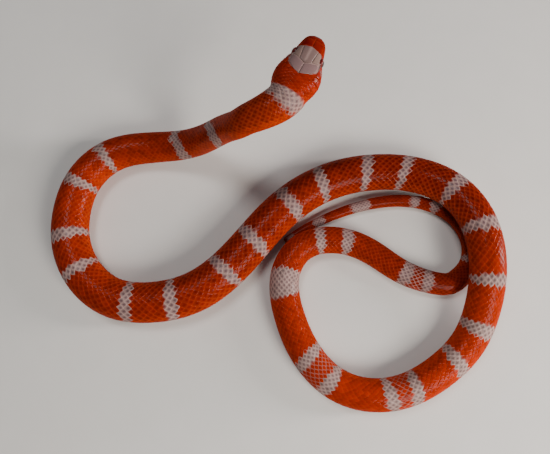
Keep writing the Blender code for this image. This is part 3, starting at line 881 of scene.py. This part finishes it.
def scale_middles():
    """Distance, angle, pitch and row step of every scale, zone by zone along the body.

    Scale n of an even row lies n pitches along, and scale n of an odd row n + 1/2 pitches.
    """
    found = []
    for start, end, rows in ROW_ZONES:
        row = np.arange(-(rows // 2), rows // 2 + 1)
        n, r = np.meshgrid(row_numbers, row, indexing="ij")
        place = np.interp(n + 0.5 * (np.abs(r) % 2), count_n, count_s)
        inside = (place >= start) & (place < end) & (place < BODY_LENGTH - 1.0)
        place, r = place[inside], r[inside].astype(float)
        turn = row_turn(r, rows, place)
        upper, lower = (row_turn(np.abs(r) + half_row, rows, place) for half_row in (0.5, -0.5))
        step = np.abs(upper - lower)
        found.append(np.stack([place, turn, np.interp(place, PITCH[:, 0], PITCH[:, 1]), step], -1))
    return np.concatenate(found)


def on_shields(s, turn):
    """Whether a place lies under the head's shields, where no small scale grows."""
    behind, off_middle, _ = head_place(np.minimum(s, 0.0), turn)
    degrees = np.degrees(np.abs(turn))
    rear = SHIELDS_END - CAP_CURVE * off_middle**2
    side = np.interp(degrees, [35, 45, 88, 95, 128], [17.2, 20.4, 21.0, 22.3, 22.3])
    return behind < np.where(degrees < 38, rear, side) + COVERED


middles = scale_middles()
middles = middles[~on_shields(middles[:, 0], middles[:, 1])]
middles[:, 0] += dice.normal(0, PLACE_CHANCE, len(middles)) * middles[:, 2]
middles[:, 1] += dice.normal(0, ROW_CHANCE, len(middles)) * middles[:, 3]
print("scales on back and sides:", len(middles))

# %% Laying them down
# The band behind the head has a smooth front edge, so there each point asks for itself
SMOOTH_EDGE, OWN_SHARE, OWN_SHARE_THERE = 3.6, 0.62, 0.12
SIZE_CHANCE, EDGE_CHANCE, FADE_CHANCE = 0.05, 0.35, 0.25
EDGE_REACH = 0.8
LEAST_SINK, TIP_MARGIN = 0.02, 0.05
PATCH = 0.0015


def scale_colours(s, s0, turn0, reach, stray):
    """Paleness and rim of every point: its scale's own answer, reaching out along the rim.

    The rim is a soft step of (|x|^1.5 + |y|^1.5)^(1/1.5) round the middle of the part that
    shows, which gives a small dark middle inside a wide light border.
    """
    stepped = s0 >= SMOOTH_EDGE
    own = np.where(stepped, OWN_SHARE, OWN_SHARE_THERE)
    asked = band_depth(own * s0 + (1 - own) * s, turn0 + 0 * s) + stray * stepped
    along, across = np.abs(2 * (LOZENGE_X * reach - 0.07)), np.abs(LOZENGE_Y * SIDE_REACH)
    rim = smooth_step(0.20, 0.84, (along**1.5 + across**1.5) ** (1 / 1.5)) + 0 * s
    edge = smooth_step(0.42, 0.98, LOZENGE_RHO)[None] + 0 * s
    pale = smooth_step(-0.4, 0.4, asked + EDGE_REACH * edge * stepped)
    return np.maximum(pale, 0.8 * smooth_step(0.35, 0.9, edge) * netted(s0 + 0 * s)), rim


def lay_scales(name, middles):
    """One mesh of scales: each is the lozenge with x times the pitch and y times the row step."""
    s0, turn0, pitch, step = (middles[:, k][:, None] for k in range(4))
    count = len(middles)
    reach = np.where(LOZENGE_X > 0, REAR_REACH, FRONT_REACH)[None]
    s = np.clip(s0 + LOZENGE_X * reach * pitch, -HEAD_LENGTH, BODY_LENGTH - TIP_MARGIN)
    turn = turn0 + LOZENGE_Y * SIDE_REACH * step
    size = dice.normal(1.0, SIZE_CHANCE, (count, 1))
    lift = coat_depth(s) * lozenge_lift(LOZENGE_X, LOZENGE_RHO) * size
    lift = np.minimum(lift, -LEAST_SINK)
    pale, rim = scale_colours(s, s0, turn0, reach, dice.normal(0, EDGE_CHANCE, (count, 1)))
    fade = 1 - FADE_CHANCE * dice.random((count, 1)) * flank(turn0)
    corners, sizes, closing = repeat_faces(*sheet_faces(CELLS + 1, CELLS + 1), count, pale.shape[1])
    patch = np.stack([LOZENGE_X, LOZENGE_Y], -1) * PATCH
    flat_map = (unrolled(s0, turn0) + patch[None]).reshape(-1, 2)[corners]
    values = {
        "paleness": (pale * fade).ravel(),
        "rim": rim.ravel(),
        "net": (rim * net(s0, turn0)).ravel(),
        "warmth_and_shade": warmth_and_shade(s0, turn0 + 0 * s).ravel(),
        "chance": np.repeat(dice.random(count), pale.shape[1]),
    }
    points = on_surface(s, turn, lift).reshape(-1, 3)
    piece = make_piece(name, points, corners, sizes, values, flat_map, scale_horn, closing)
    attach(piece, "root")


COAT_LENGTHS = [
    ("nape_and_neck_scales", -14, 92), ("first_loop_scales", 92, 260),
    ("diagonal_scales", 260, 400), ("right_loop_scales", 400, 540),
    ("coil_scales", 540, 700), ("tail_scales", 700, 960),
]
for name, low, high in COAT_LENGTHS:
    lay_scales(name, middles[(middles[:, 0] >= low) & (middles[:, 0] < high)])

# %% [markdown]
# ## The belly's scutes
#
# Under the body one broad scute spans the belly for each row of joints, like the slats of a
# blind, and each slides over the one behind it. Under the tail they come in pairs. They could
# be cut from the skin, but laid as curved slats they show their overlapping ends low on the
# sides of the body, just as the lowest scales end.

# %% Scutes
scute_u = np.concatenate([[-1, -0.985], np.linspace(-0.93, 0.93, 11), [0.985, 1]])
scute_v = np.array([0.0, 0.08, 0.5, 0.93, 1.0])
SCUTE_HALF = math.radians(54.5)
SCUTE_PATCH = 0.003
VENT = 803.0


def lay_scutes(name, s0, pitch, middle, half_turn):
    """One mesh of scutes: u runs across an angle, v runs back from the root to the free edge.

    The height in coat depths is -0.72 + 0.58 v - 0.25 u^10, and 0.35 lower on the rim.
    """
    v, u = (g.ravel() for g in np.meshgrid(scute_v, scute_u, indexing="ij"))
    s = s0[:, None] + (-0.30 + 1.38 * v - 0.10 * np.abs(u) ** 3) * pitch[:, None]
    s = np.clip(s, -HEAD_LENGTH, BODY_LENGTH - TIP_MARGIN)
    turn = middle[:, None] + u * half_turn[:, None]
    rim = (v < 0.01) | (v > 0.99) | (np.abs(u) > 0.999)
    lift = -0.72 + 0.58 * v - 0.25 * np.abs(u) ** 10 - 0.35 * rim
    points = on_surface(s, turn, coat_depth(s) * lift).reshape(-1, 3)
    sheet = sheet_faces(len(scute_v), len(scute_u))
    corners, sizes, closing = repeat_faces(*sheet, len(s0), len(u), flip=True)
    patch = np.stack([v - 0.5, u * 0.5], -1) * SCUTE_PATCH
    flat_map = (unrolled(s0, middle)[:, None] + patch[None]).reshape(-1, 2)[corners]
    pale = smooth_step(-0.5, 0.5, band_depth(s0[:, None] + 0 * s, turn))
    light_middle = 0.35 * (1 - smooth_step(0.55, 0.95, np.abs(u)))[None]
    values = {
        "paleness": np.maximum(pale, light_middle).ravel(),
        "rim": np.tile(smooth_step(0.8, 1.0, v) * 0.7, len(s0)),
        "net": np.tile(0.5 * smooth_step(0.85, 1.0, v), len(s0)),
        "warmth_and_shade": np.clip(warmth_and_shade(s, turn) + 0.1, 0, 1).ravel(),
        "chance": np.repeat(dice.random(len(s0)), len(u)),
    }
    piece = make_piece(name, points, corners, sizes, values, flat_map, scute_horn, closing)
    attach(piece, "root")


scute_s = np.interp(row_numbers, count_n, count_s)
belly_s = scute_s[(scute_s > -7) & (scute_s < VENT)]
tail_s = scute_s[(scute_s >= VENT) & (scute_s < BODY_LENGTH - 2.5)]
belly_pitch, tail_pitch = (np.interp(s, PITCH[:, 0], PITCH[:, 1]) for s in (belly_s, tail_s))
lay_scutes("belly_scutes", belly_s, belly_pitch, np.full(len(belly_s), math.pi),
           np.full(len(belly_s), SCUTE_HALF))
lay_scutes(
    "tail_scutes", np.concatenate([tail_s, tail_s + 0.5 * tail_pitch]), np.tile(tail_pitch, 2),
    np.repeat([math.pi - SCUTE_HALF / 2, math.pi + SCUTE_HALF / 2], len(tail_s)),
    np.full(2 * len(tail_s), SCUTE_HALF / 2 * 1.02),
)
print("scutes:", len(belly_s), "under the body,", len(tail_s), "pairs under the tail")

# %% [markdown]
# ## The shields of the head
#
# The head wears large plates whose number and places are the same on every snake of this kind:
# two behind the nose, two before the eyes, a long one over each eye with a six-sided one
# between, and a great pair behind. Plates edge the lips, seven above and eight below on each
# side. They could be modelled one by one, but four corners are quickly read off an animal, and
# a plate laid between them on the head's own surface bends with the head by itself. Its sides
# are bowed out a little, and it is lifted into a low cushion with a rounded edge. The seams are
# the gaps between the plates.

# %% Shields by their corners
# Behind the snout and off the middle, both in millimetres
CROWN_SHIELDS = {
    "internasal": [(1.75, 0.0), (2.0, 2.9), (3.5, 3.9), (3.35, 0.0)],
    "prefrontal": [(3.35, 0.0), (3.7, 4.1), (7.7, 4.75), (6.7, 0.0)],
    "supraocular": [(7.65, 3.55), (7.8, 4.9), (12.7, 6.0), (13.45, 2.95)],
    "parietal": [(15.0, 0.0), (12.8, 5.9), (16.4, 6.3), (19.95, 0.0)],
}
# How far each bows out at the front, outer, rear and inner side, its warmth and its sheen
CROWN_LOOKS = {
    "internasal": ((0.1, 0.1, 0.05, 0), 0.12, 0.0),
    "prefrontal": ((0.05, 0.15, 0.15, 0), 0.2, 0.0),
    "supraocular": ((0.0, 0.25, 0.0, 0.1), 0.9, 0.15),
    "parietal": ((0.0, 0.45, 0.85, 0), 0.0, 0.42),
}
FRONTAL = [(7.6, -3.5), (7.6, 3.5), (13.5, 2.9), (13.5, -2.9)]
# Side plates: behind the snout in millimetres, and degrees down from the crown
SIDE_PLATES = {
    "nasal_front": [(1.0, 52), (2.5, 58), (2.5, 90), (1.0, 92)],
    "nasal_rear": [(2.5, 58), (3.9, 58), (3.9, 88), (2.5, 90)],
    "loreal": [(3.9, 58), (6.3, 56), (6.3, 87), (3.9, 88)],
    "before_eye": [(6.3, 52), (9.0, 47), (9.0, 90), (6.3, 87)],
    "behind_eye_upper": [(12.2, 49), (14.3, 47), (14.5, 67), (12.2, 69)],
    "behind_eye_lower": [(12.2, 69), (14.5, 67), (14.5, 88), (12.2, 94)],
    "temple_upper": [(14.4, 47), (17.8, 44), (17.8, 64), (14.4, 66)],
    "temple_lower": [(14.4, 65), (17.8, 64), (17.8, 87), (14.4, 88)],
    "temple_rear_upper": [(17.8, 40), (20.8, 40), (20.8, 57), (17.8, 57)],
    "temple_rear_middle": [(17.8, 57), (20.8, 57), (20.8, 73), (17.8, 73)],
    "temple_rear_lower": [(17.8, 73), (20.8, 73), (21.0, 90), (17.8, 88)],
}
UPPER_LIP = [0.9, 3.4, 6.6, 9.9, 13.0, 15.8, 18.7, 22.0]
UPPER_LIP_TOP = np.array([(0, 93), (3.9, 88), (7, 87), (8, 92), (12, 93), (14, 88), (22, 90)])
LOWER_LIP = [0.7, 2.3, 4.2, 6.6, 9.2, 12.0, 15.0, 18.4, 22.0]
LOWER_LIP_FOOT = np.array([(0, 128), (4, 122), (22, 118)])
MOUTH_GAP = 0.9
CHIN_SHIELDS = [
    [(0.5, 128), (2.6, 128), (2.6, 180), (0.5, 180)],
    [(2.6, 124), (8.2, 128), (8.6, 180), (2.6, 180)],
    [(8.3, 128), (12.6, 138), (13.2, 180), (8.6, 180)],
]
print("shields named:", 2 * (len(CROWN_SHIELDS) + len(SIDE_PLATES)) + 2)

# %% The surface of a shield
PLATE_STEPS = np.array([0, 0.035, 0.09, 0.2, 0.35, 0.5, 0.65, 0.8, 0.91, 0.965, 1.0])
SEAM, NARROW_SEAM = 0.09, 0.06
SIDE_RADIUS = 7.0


def turn_of(behind, off_middle):
    """Angle from the crown of a place so far off the middle of the head.

    The arcsine of x^(m/2), where x is its share of the half width and m is the exponent.
    """
    half, _, _, power, _ = section_size(behind - HEAD_LENGTH)
    share = np.clip(np.abs(off_middle) / half, 0, 0.999)
    return np.sign(off_middle) * np.arcsin(share ** (power / 2))


def plate_surface(corners, on_crown, bow, seam=SEAM):
    """Places and rim values of a plate: a bilinear patch between four corners.

    Its sides bow out by bow times 4t(1 - t), and it is drawn in all round by the seam. On the
    side of the head the second number is in degrees, and they are measured on a 7 mm radius.
    """
    front_in, front_out, rear_out, rear_in = (np.array(c, dtype=float) for c in corners)
    v, u = np.meshgrid(PLATE_STEPS, PLATE_STEPS, indexing="ij")
    u, v = u.ravel()[:, None], v.ravel()[:, None]
    spot = (1 - v) * ((1 - u) * front_in + u * front_out) + v * ((1 - u) * rear_in + u * rear_out)
    middle = (front_in + front_out + rear_out + rear_in) / 4
    to_mm = 1.0 if on_crown else math.radians(SIDE_RADIUS)
    reach = np.linalg.norm((spot - middle) * [1.0, to_mm], axis=1, keepdims=True) + 1e-9
    far = np.maximum(np.abs(2 * u - 1), np.abs(2 * v - 1))
    spot = spot + (middle - spot) / reach * seam * far
    fore, outer, rear, inner = np.broadcast_to(bow, 4)
    spot[:, :1] += (-fore * (1 - v) + rear * v) * 4 * u * (1 - u)
    spot[:, 1:] += (outer * u - inner * (1 - u)) * 4 * v * (1 - v) / to_mm
    return spot[:, 0], spot[:, 1], far[:, 0]


def plate_lift(rho):
    """Height in coat depths: -0.04 in the middle, falling as rho^6 to a rim sunk in the skin."""
    return -0.04 - 0.34 * rho**6 - 0.75 * (rho > 0.995)


def low_lift(rho):
    """As plate_lift, for the flatter plates of the temples."""
    return -0.10 - 0.22 * rho**6 - 0.45 * (rho > 0.995)


print("faces of one plate:", (len(PLATE_STEPS) - 1) ** 2 + 1)

# %% Gathering shields into one mesh
ALL_EDGES = (True, True, True, True)
SEAM_GLOW, SEAM_CORE, SEAM_END, FAR_AWAY = 0.8, 0.05, 0.32, 9
PLATE_PATCH = 0.006


class Plates:
    """Gathers plates as arrays and turns them into one mesh.

    The seams of the red snout show as thin orange lines, and those of the cap as pale ones.
    """

    def __init__(self):
        self.parts = []

    def add(self, behind, turn, rho, side=1, lift=plate_lift, warm=None, shine=0.0,
            edges=ALL_EDGES, line=0.0):
        """One plate from places and rim values, on the left side or mirrored to the right.

        The light line along a seam is drawn by the distance in millimetres from those edges
        (inner, outer, front, rear) that have one, and line adds another across the plate.
        """
        s = behind - HEAD_LENGTH
        turn = side * turn
        points = on_surface(s, turn, coat_depth(s) * lift(rho) - hollows(s, turn))
        off_middle = head_place(s, turn)[1]
        pale = head_paleness(behind, off_middle, wrap(turn))
        heat = warmth_and_shade(s, turn) if warm is None else warm + 0 * s
        rows = math.isqrt(len(rho))
        grid = points.reshape(rows, rows, 3)
        across = np.linalg.norm(np.diff(grid, axis=1), axis=-1).cumsum(1)
        along = np.linalg.norm(np.diff(grid, axis=0), axis=-1).cumsum(0)
        inner = np.hstack([np.zeros((rows, 1)), across])
        front = np.vstack([np.zeros((1, rows)), along])
        gaps = [inner, inner[:, -1:] - inner, front, front[-1:] - front]
        nearest = np.min([g if has else g + FAR_AWAY for g, has in zip(gaps, edges)], axis=0)
        seam = np.maximum(1 - smooth_step(SEAM_CORE, SEAM_END, nearest.ravel()), line)
        # The pit value paints shade where a plate dips into the eye's cup or the nostril
        values = {"paleness": pale, "rim": shine + (SEAM_GLOW - shine) * seam, "net": 0.5 * seam,
                  "warmth_and_shade": heat, "pit_shade": np.where(hollows(s, turn) > 0.45, 0.85, 0.0)}
        middle = unrolled(np.array([s.mean()]), np.array([turn.mean()]))
        patch = np.stack([(v - v.mean()) / (np.ptp(v) + 1e-9) for v in (s, turn)], -1)
        self.parts.append((points, middle + patch * PLATE_PATCH, values, rows, side))

    def add_pair(self, corners, bow, seam=SEAM, lift=plate_lift):
        """A plate of the side of the head, on the left and mirrored on the right."""
        behind, degrees, rho = plate_surface(corners, False, bow, seam)
        for side in (1, -1):
            self.add(behind, np.radians(degrees), rho, side=side, lift=lift)

    def finish(self, name):
        """The plates as one object with their stored values."""
        corners, sizes, closing, offset, faces = [], [], [], 0, 0
        for points, _, _, rows, side in self.parts:
            quads, under = sheet_faces(rows, rows)
            if side < 0:
                quads, under = quads[:, ::-1], under[::-1]
            corners += [quads.ravel() + offset, under + offset]
            sizes += [np.full(len(quads), 4), [len(under)]]
            closing.append(faces + len(quads))
            offset += len(points)
            faces += len(quads) + 1
        corners, sizes = np.concatenate(corners), np.concatenate(sizes)
        points, flat_map = (np.concatenate([p[k] for p in self.parts]) for k in (0, 1))
        values = {k: np.concatenate([p[2][k] for p in self.parts]) for k in self.parts[0][2]}
        chance = np.concatenate([np.full(len(p[0]), dice.random()) for p in self.parts])
        values["chance"] = 0.5 + 0.3 * (chance - 0.5)
        piece = make_piece(name, points, corners, sizes, values, flat_map[corners], shield_horn,
                           np.array(closing))
        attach(piece, "root")


print("the light line along a seam ends", SEAM_END, "mm from it")

# %% Crown shields
FRONTAL_LENGTH, FRONTAL_HALF = 5.9, 3.1
REAR_POINT, FRONT_POINT = 1.5, 0.85
ROSTRAL_HALF = math.radians(100)
crown_plates = Plates()
for name, corners in CROWN_SHIELDS.items():
    bow, warm, shine = CROWN_LOOKS[name]
    behind, off_middle, rho = plate_surface(corners, True, bow)
    edges = (True, name != "parietal", True, name not in ("parietal", "supraocular"))
    for side in (1, -1):
        crown_plates.add(behind, turn_of(behind, off_middle), rho, side=side, warm=warm,
                         shine=shine, edges=edges)
# The six-sided frontal: its front edge comes to a blunt point, and its rear edge to a long one
behind, off_middle, rho = plate_surface(FRONTAL, True, 0.0)
share = np.clip((behind - 7.6) / FRONTAL_LENGTH, 0, 1)
off = 1 - np.clip(np.abs(off_middle) / FRONTAL_HALF, 0, 1)
behind = behind + REAR_POINT * share**1.5 * off - FRONT_POINT * (1 - share) ** 1.5 * off
line = 0.6 * np.exp(-((off_middle / 0.12) ** 2)) * (behind < 13.6)
crown_plates.add(behind, turn_of(behind, off_middle), rho, warm=0.6, shine=0.15, line=line,
                 edges=(True, True, True, False))
# The rostral wraps round the tip of the snout
v, u = np.meshgrid(PLATE_STEPS, PLATE_STEPS, indexing="ij")
rostral_turn = ((u - 0.5) * 2 * ROSTRAL_HALF).ravel()
reach = np.interp(np.degrees(np.abs(rostral_turn)), [0, 40, 70, 100], [1.7, 1.7, 0.95, 0.7])
rostral_rho = np.maximum(np.abs(2 * u - 1), np.clip(2 * v - 1, 0, 1)).ravel()
crown_plates.add(0.03 + v.ravel() * reach, rostral_turn, rostral_rho)
crown_plates.finish("crown_shields")

# %% Side plates and lips
LIP_BOW, SIDE_BOW = 0.05, 0.12
side_plates = Plates()
for corners in SIDE_PLATES.values():
    side_plates.add_pair(corners, SIDE_BOW, NARROW_SEAM, low_lift)


def lip_plates(stops, edge, gap):
    """Pairs of plates between the stops, from an edge to the mouth's line, a gap short of it."""
    for fore, rear in zip(stops, stops[1:]):
        ends = np.array([fore, rear])
        far = np.interp(ends, edge[:, 0], edge[:, 1])
        near = np.degrees(mouth_turn(ends)) + gap
        top, low = (far, near) if gap < 0 else (near, far)
        corners = [(fore, top[0]), (rear, top[1]), (rear, low[1]), (fore, low[0])]
        side_plates.add_pair(corners, LIP_BOW)


lip_plates(UPPER_LIP, UPPER_LIP_TOP, -MOUTH_GAP)
lip_plates(LOWER_LIP, LOWER_LIP_FOOT, MOUTH_GAP)
side_plates.finish("lips_and_side_plates")

# %% [markdown]
# ## The throat
#
# Under the chin lie two small plates at the tip, two pairs of long shields, and then small
# scales up to the first scutes. Nothing of this shows in the photograph. It could be left
# smooth, but a model is also seen from below, so it follows what such snakes have: plates by
# the same rule, and small lozenges for the rest.

# %% Throat
THROAT_PITCH, THROAT_STEP = 1.75, math.radians(8.6)
THROAT_START, THROAT_FRONT, THROAT_REAR, THROAT_HALF = -21.5, 7.5, 23.5, 61
chin_plates = Plates()
for corners in CHIN_SHIELDS:
    chin_plates.add_pair(corners, LIP_BOW)
chin_plates.finish("chin_shields")
throat_n, throat_row = np.meshgrid(np.arange(30), np.arange(-7, 8), indexing="ij")
throat_s = THROAT_START + (throat_n + 0.5 * (np.abs(throat_row) % 2)) * THROAT_PITCH
throat_turn = math.pi + THROAT_STEP * throat_row
behind = throat_s + HEAD_LENGTH
inner = np.interp(behind, [6, 8.4, 8.7, 13.2, 14.0], [54, 52, 44, 40, -1])
angle = np.degrees(np.abs(throat_turn - math.pi))
on_throat = (behind > THROAT_FRONT) & (behind < THROAT_REAR) & (angle < THROAT_HALF)
keep = on_throat & (angle > inner)
each = np.ones(keep.sum())
lay_scales("throat_scales", np.stack([
    throat_s[keep], throat_turn[keep], THROAT_PITCH * each, THROAT_STEP * each
], -1))

# %% [markdown]
# ## The eyes
#
# A snake has no eyelids. A clear scale lies over each eye, so it is always glossy. The eye is a
# ball in its cup: a round black pupil, a narrow rusty ring, and a dark red iris that is nearly
# black at its edge. The rings could be a painted picture, but here the stored value counts the
# angle from the direction the eye looks in, so they are part of the ball and turn with it. Each
# ball stands in for its solid.

# %% The eye's finish
eye_gloss, tree, shader = new_material("eye under its clear scale")
ramp = node(tree, "ShaderNodeValToRGB")
stops = ramp.color_ramp.elements
stops[0].color = (0.002, 0.001, 0.001, 1)
for position, colour in ((0.40, (0.002, 0.001, 0.001, 1)), (0.44, (0.22, 0.03, 0.012, 1)),
                         (0.52, (0.12, 0.008, 0.006, 1)), (0.85, (0.060, 0.003, 0.004, 1))):
    stops.new(position).color = colour
stops[-1].color = (0.008, 0.002, 0.002, 1)
streaks = sums(tree, "MULTIPLY", noise(tree, STREAKS, 2.0), 0.04)
tree.links.new(sums(tree, "ADD", stored(tree, "rim"), streaks), ramp.inputs["Fac"])
tree.links.new(ramp.outputs["Color"], shader.inputs["Base Color"])
for socket, value in (("Roughness", 0.22), ("Specular IOR Level", 0.2), ("Coat Weight", 0.2),
                      ("Coat Roughness", 0.05)):
    shader.inputs[socket].default_value = value
print("colour stops of the eye:", len(stops))

# %% The eyes
HEAD_BACK, HEAD_LEFT, HEAD_UP = (v[0] for v in axis_frames(np.array([-20.0]))[1:])
SNOUT = HEAD_JOINT + HEAD_LENGTH * HEAD_FORWARD


def head_point(behind, off_middle, rise):
    """A point behind the snout, left of the middle and above the head's axis."""
    return SNOUT + behind * HEAD_BACK + off_middle * HEAD_LEFT + rise * HEAD_UP


EYE_ROUND, EYE_RINGS = 48, 28
EYE_GAP, EYE_FLATNESS = 0.03, 0.13
for name, side in (("eye_left", 1), ("eye_right", -1)):
    middle = head_point(EYE[0], side * EYE[1], EYE[2])
    look = unit(side * HEAD_LEFT - 0.12 * HEAD_BACK + 0.14 * HEAD_UP)
    beside = unit(np.cross(look, HEAD_UP))
    above = np.cross(beside, look)
    polar = np.linspace(0.02, math.pi - 0.02, EYE_RINGS)
    round_angle = np.linspace(0, 2 * math.pi, EYE_ROUND, endpoint=False)
    p, q = np.meshgrid(polar, round_angle, indexing="ij")
    # A ball: cos p towards the look, and sin p in a circle round it
    ball = (np.cos(p)[..., None] * look + (np.sin(p) * np.cos(q))[..., None] * beside
            + (np.sin(p) * np.sin(q))[..., None] * above)
    # The clear scale over the eye is a little flatter than the ball behind it
    bulge = np.maximum(np.cos(p), 0)[..., None] ** 2 * look
    points = middle + (EYE_RADIUS - EYE_GAP) * (ball - EYE_FLATNESS * bulge).reshape(-1, 3)
    quads = grid_faces(EYE_RINGS, EYE_ROUND)[0]
    last = (EYE_RINGS - 1) * EYE_ROUND
    corners = np.concatenate([quads[:, ::-1].ravel(), np.arange(EYE_ROUND),
                              last + np.arange(EYE_ROUND)[::-1]])
    sizes = np.concatenate([np.full(len(quads), 4), [EYE_ROUND, EYE_ROUND]])
    flat = np.stack([0.5 + 0.45 * (p / math.pi * np.cos(q)).ravel(),
                     0.5 + 0.45 * (p / math.pi * np.sin(q)).ravel()], -1)[corners]
    rim = (p / (0.55 * math.pi)).ravel()
    eye = make_piece(name + "_ball", points, corners, sizes, {"rim": rim}, flat, eye_gloss)
    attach(eye, "root")
    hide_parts(name)

# %% [markdown]
# ## Floor and light
#
# The animal rests as a museum model does, on a plain pale floor under soft light. The main lamp
# stands in front and to the right, because the coils in the photograph are brightest on that
# side. A tall narrow one at the right gives the long soft shine of a window, and one high above
# and behind fills the shadows. A picture of a room all round could light it too, but lamps can
# be moved and weighed one at a time.

# %% Floor
HALF_FLOOR = 1.5
floor_finish, tree, shader = new_material("pale floor")
shader.inputs["Roughness"].default_value = 0.9
tone = colour_mix(tree, noise(tree, 60.0, 3.0), (0.66, 0.64, 0.61, 1), (0.70, 0.68, 0.65, 1))
tree.links.new(tone, shader.inputs["Base Color"])
floor_mesh = bpy.data.meshes.new("floor")
around = [(-1, -1), (1, -1), (1, 1), (-1, 1)]
floor_corners = [(x * HALF_FLOOR, y * HALF_FLOOR, 0) for x, y in around]
floor_mesh.from_pydata(floor_corners, [], [(0, 1, 2, 3)])
floor_mesh.materials.append(floor_finish)
floor_piece = bpy.data.objects.new("floor", floor_mesh)
bpy.context.scene.collection.objects.link(floor_piece)
print("floor:", 2 * HALF_FLOOR, "m square")

# %% Lamps


def lamp(name, place, towards, size, watts, colour):
    """An oblong area lamp of a size in metres, aimed at a point."""
    data = bpy.data.lights.new(name, "AREA")
    data.shape = "RECTANGLE"
    data.size, data.size_y = size
    data.energy = watts
    data.color = colour
    made = bpy.data.objects.new(name, data)
    bpy.context.scene.collection.objects.link(made)
    made.location = place
    direction = unit(np.array(place, dtype=float) - np.array(towards, dtype=float))
    across = unit(np.cross([0.0, 0.0, 1.0], direction) + [1e-9, 0, 0])
    up = np.cross(direction, across)
    made.rotation_mode = "QUATERNION"
    made.rotation_quaternion = Matrix(np.array([across, up, direction]).T.tolist()).to_quaternion()


# Name, place, where it aims, width and height, watts, and colour
LAMPS = [
    ("key lamp", (0.36, -0.38, 0.42), (0.03, -0.02, 0.02), (0.28, 0.28), 4.4, (1.0, 0.95, 0.88)),
    ("window lamp", (0.95, 0.05, 0.24), (0.05, 0, 0.02), (0.12, 0.50), 11.0, (1.0, 0.94, 0.91)),
    ("top lamp", (-0.25, 0.35, 1.10), (0, 0, 0), (0.35, 0.35), 4.8, (1.0, 1.0, 1.0)),
]
for each_lamp in LAMPS:
    lamp(*each_lamp)
world = bpy.data.worlds.new("studio")
world.use_nodes = True
backdrop = world.node_tree.nodes["Background"]
backdrop.inputs["Color"].default_value = (0.9, 0.93, 1.0, 1)
backdrop.inputs["Strength"].default_value = 0.12
bpy.context.scene.world = world
print("lamps:", len(LAMPS))
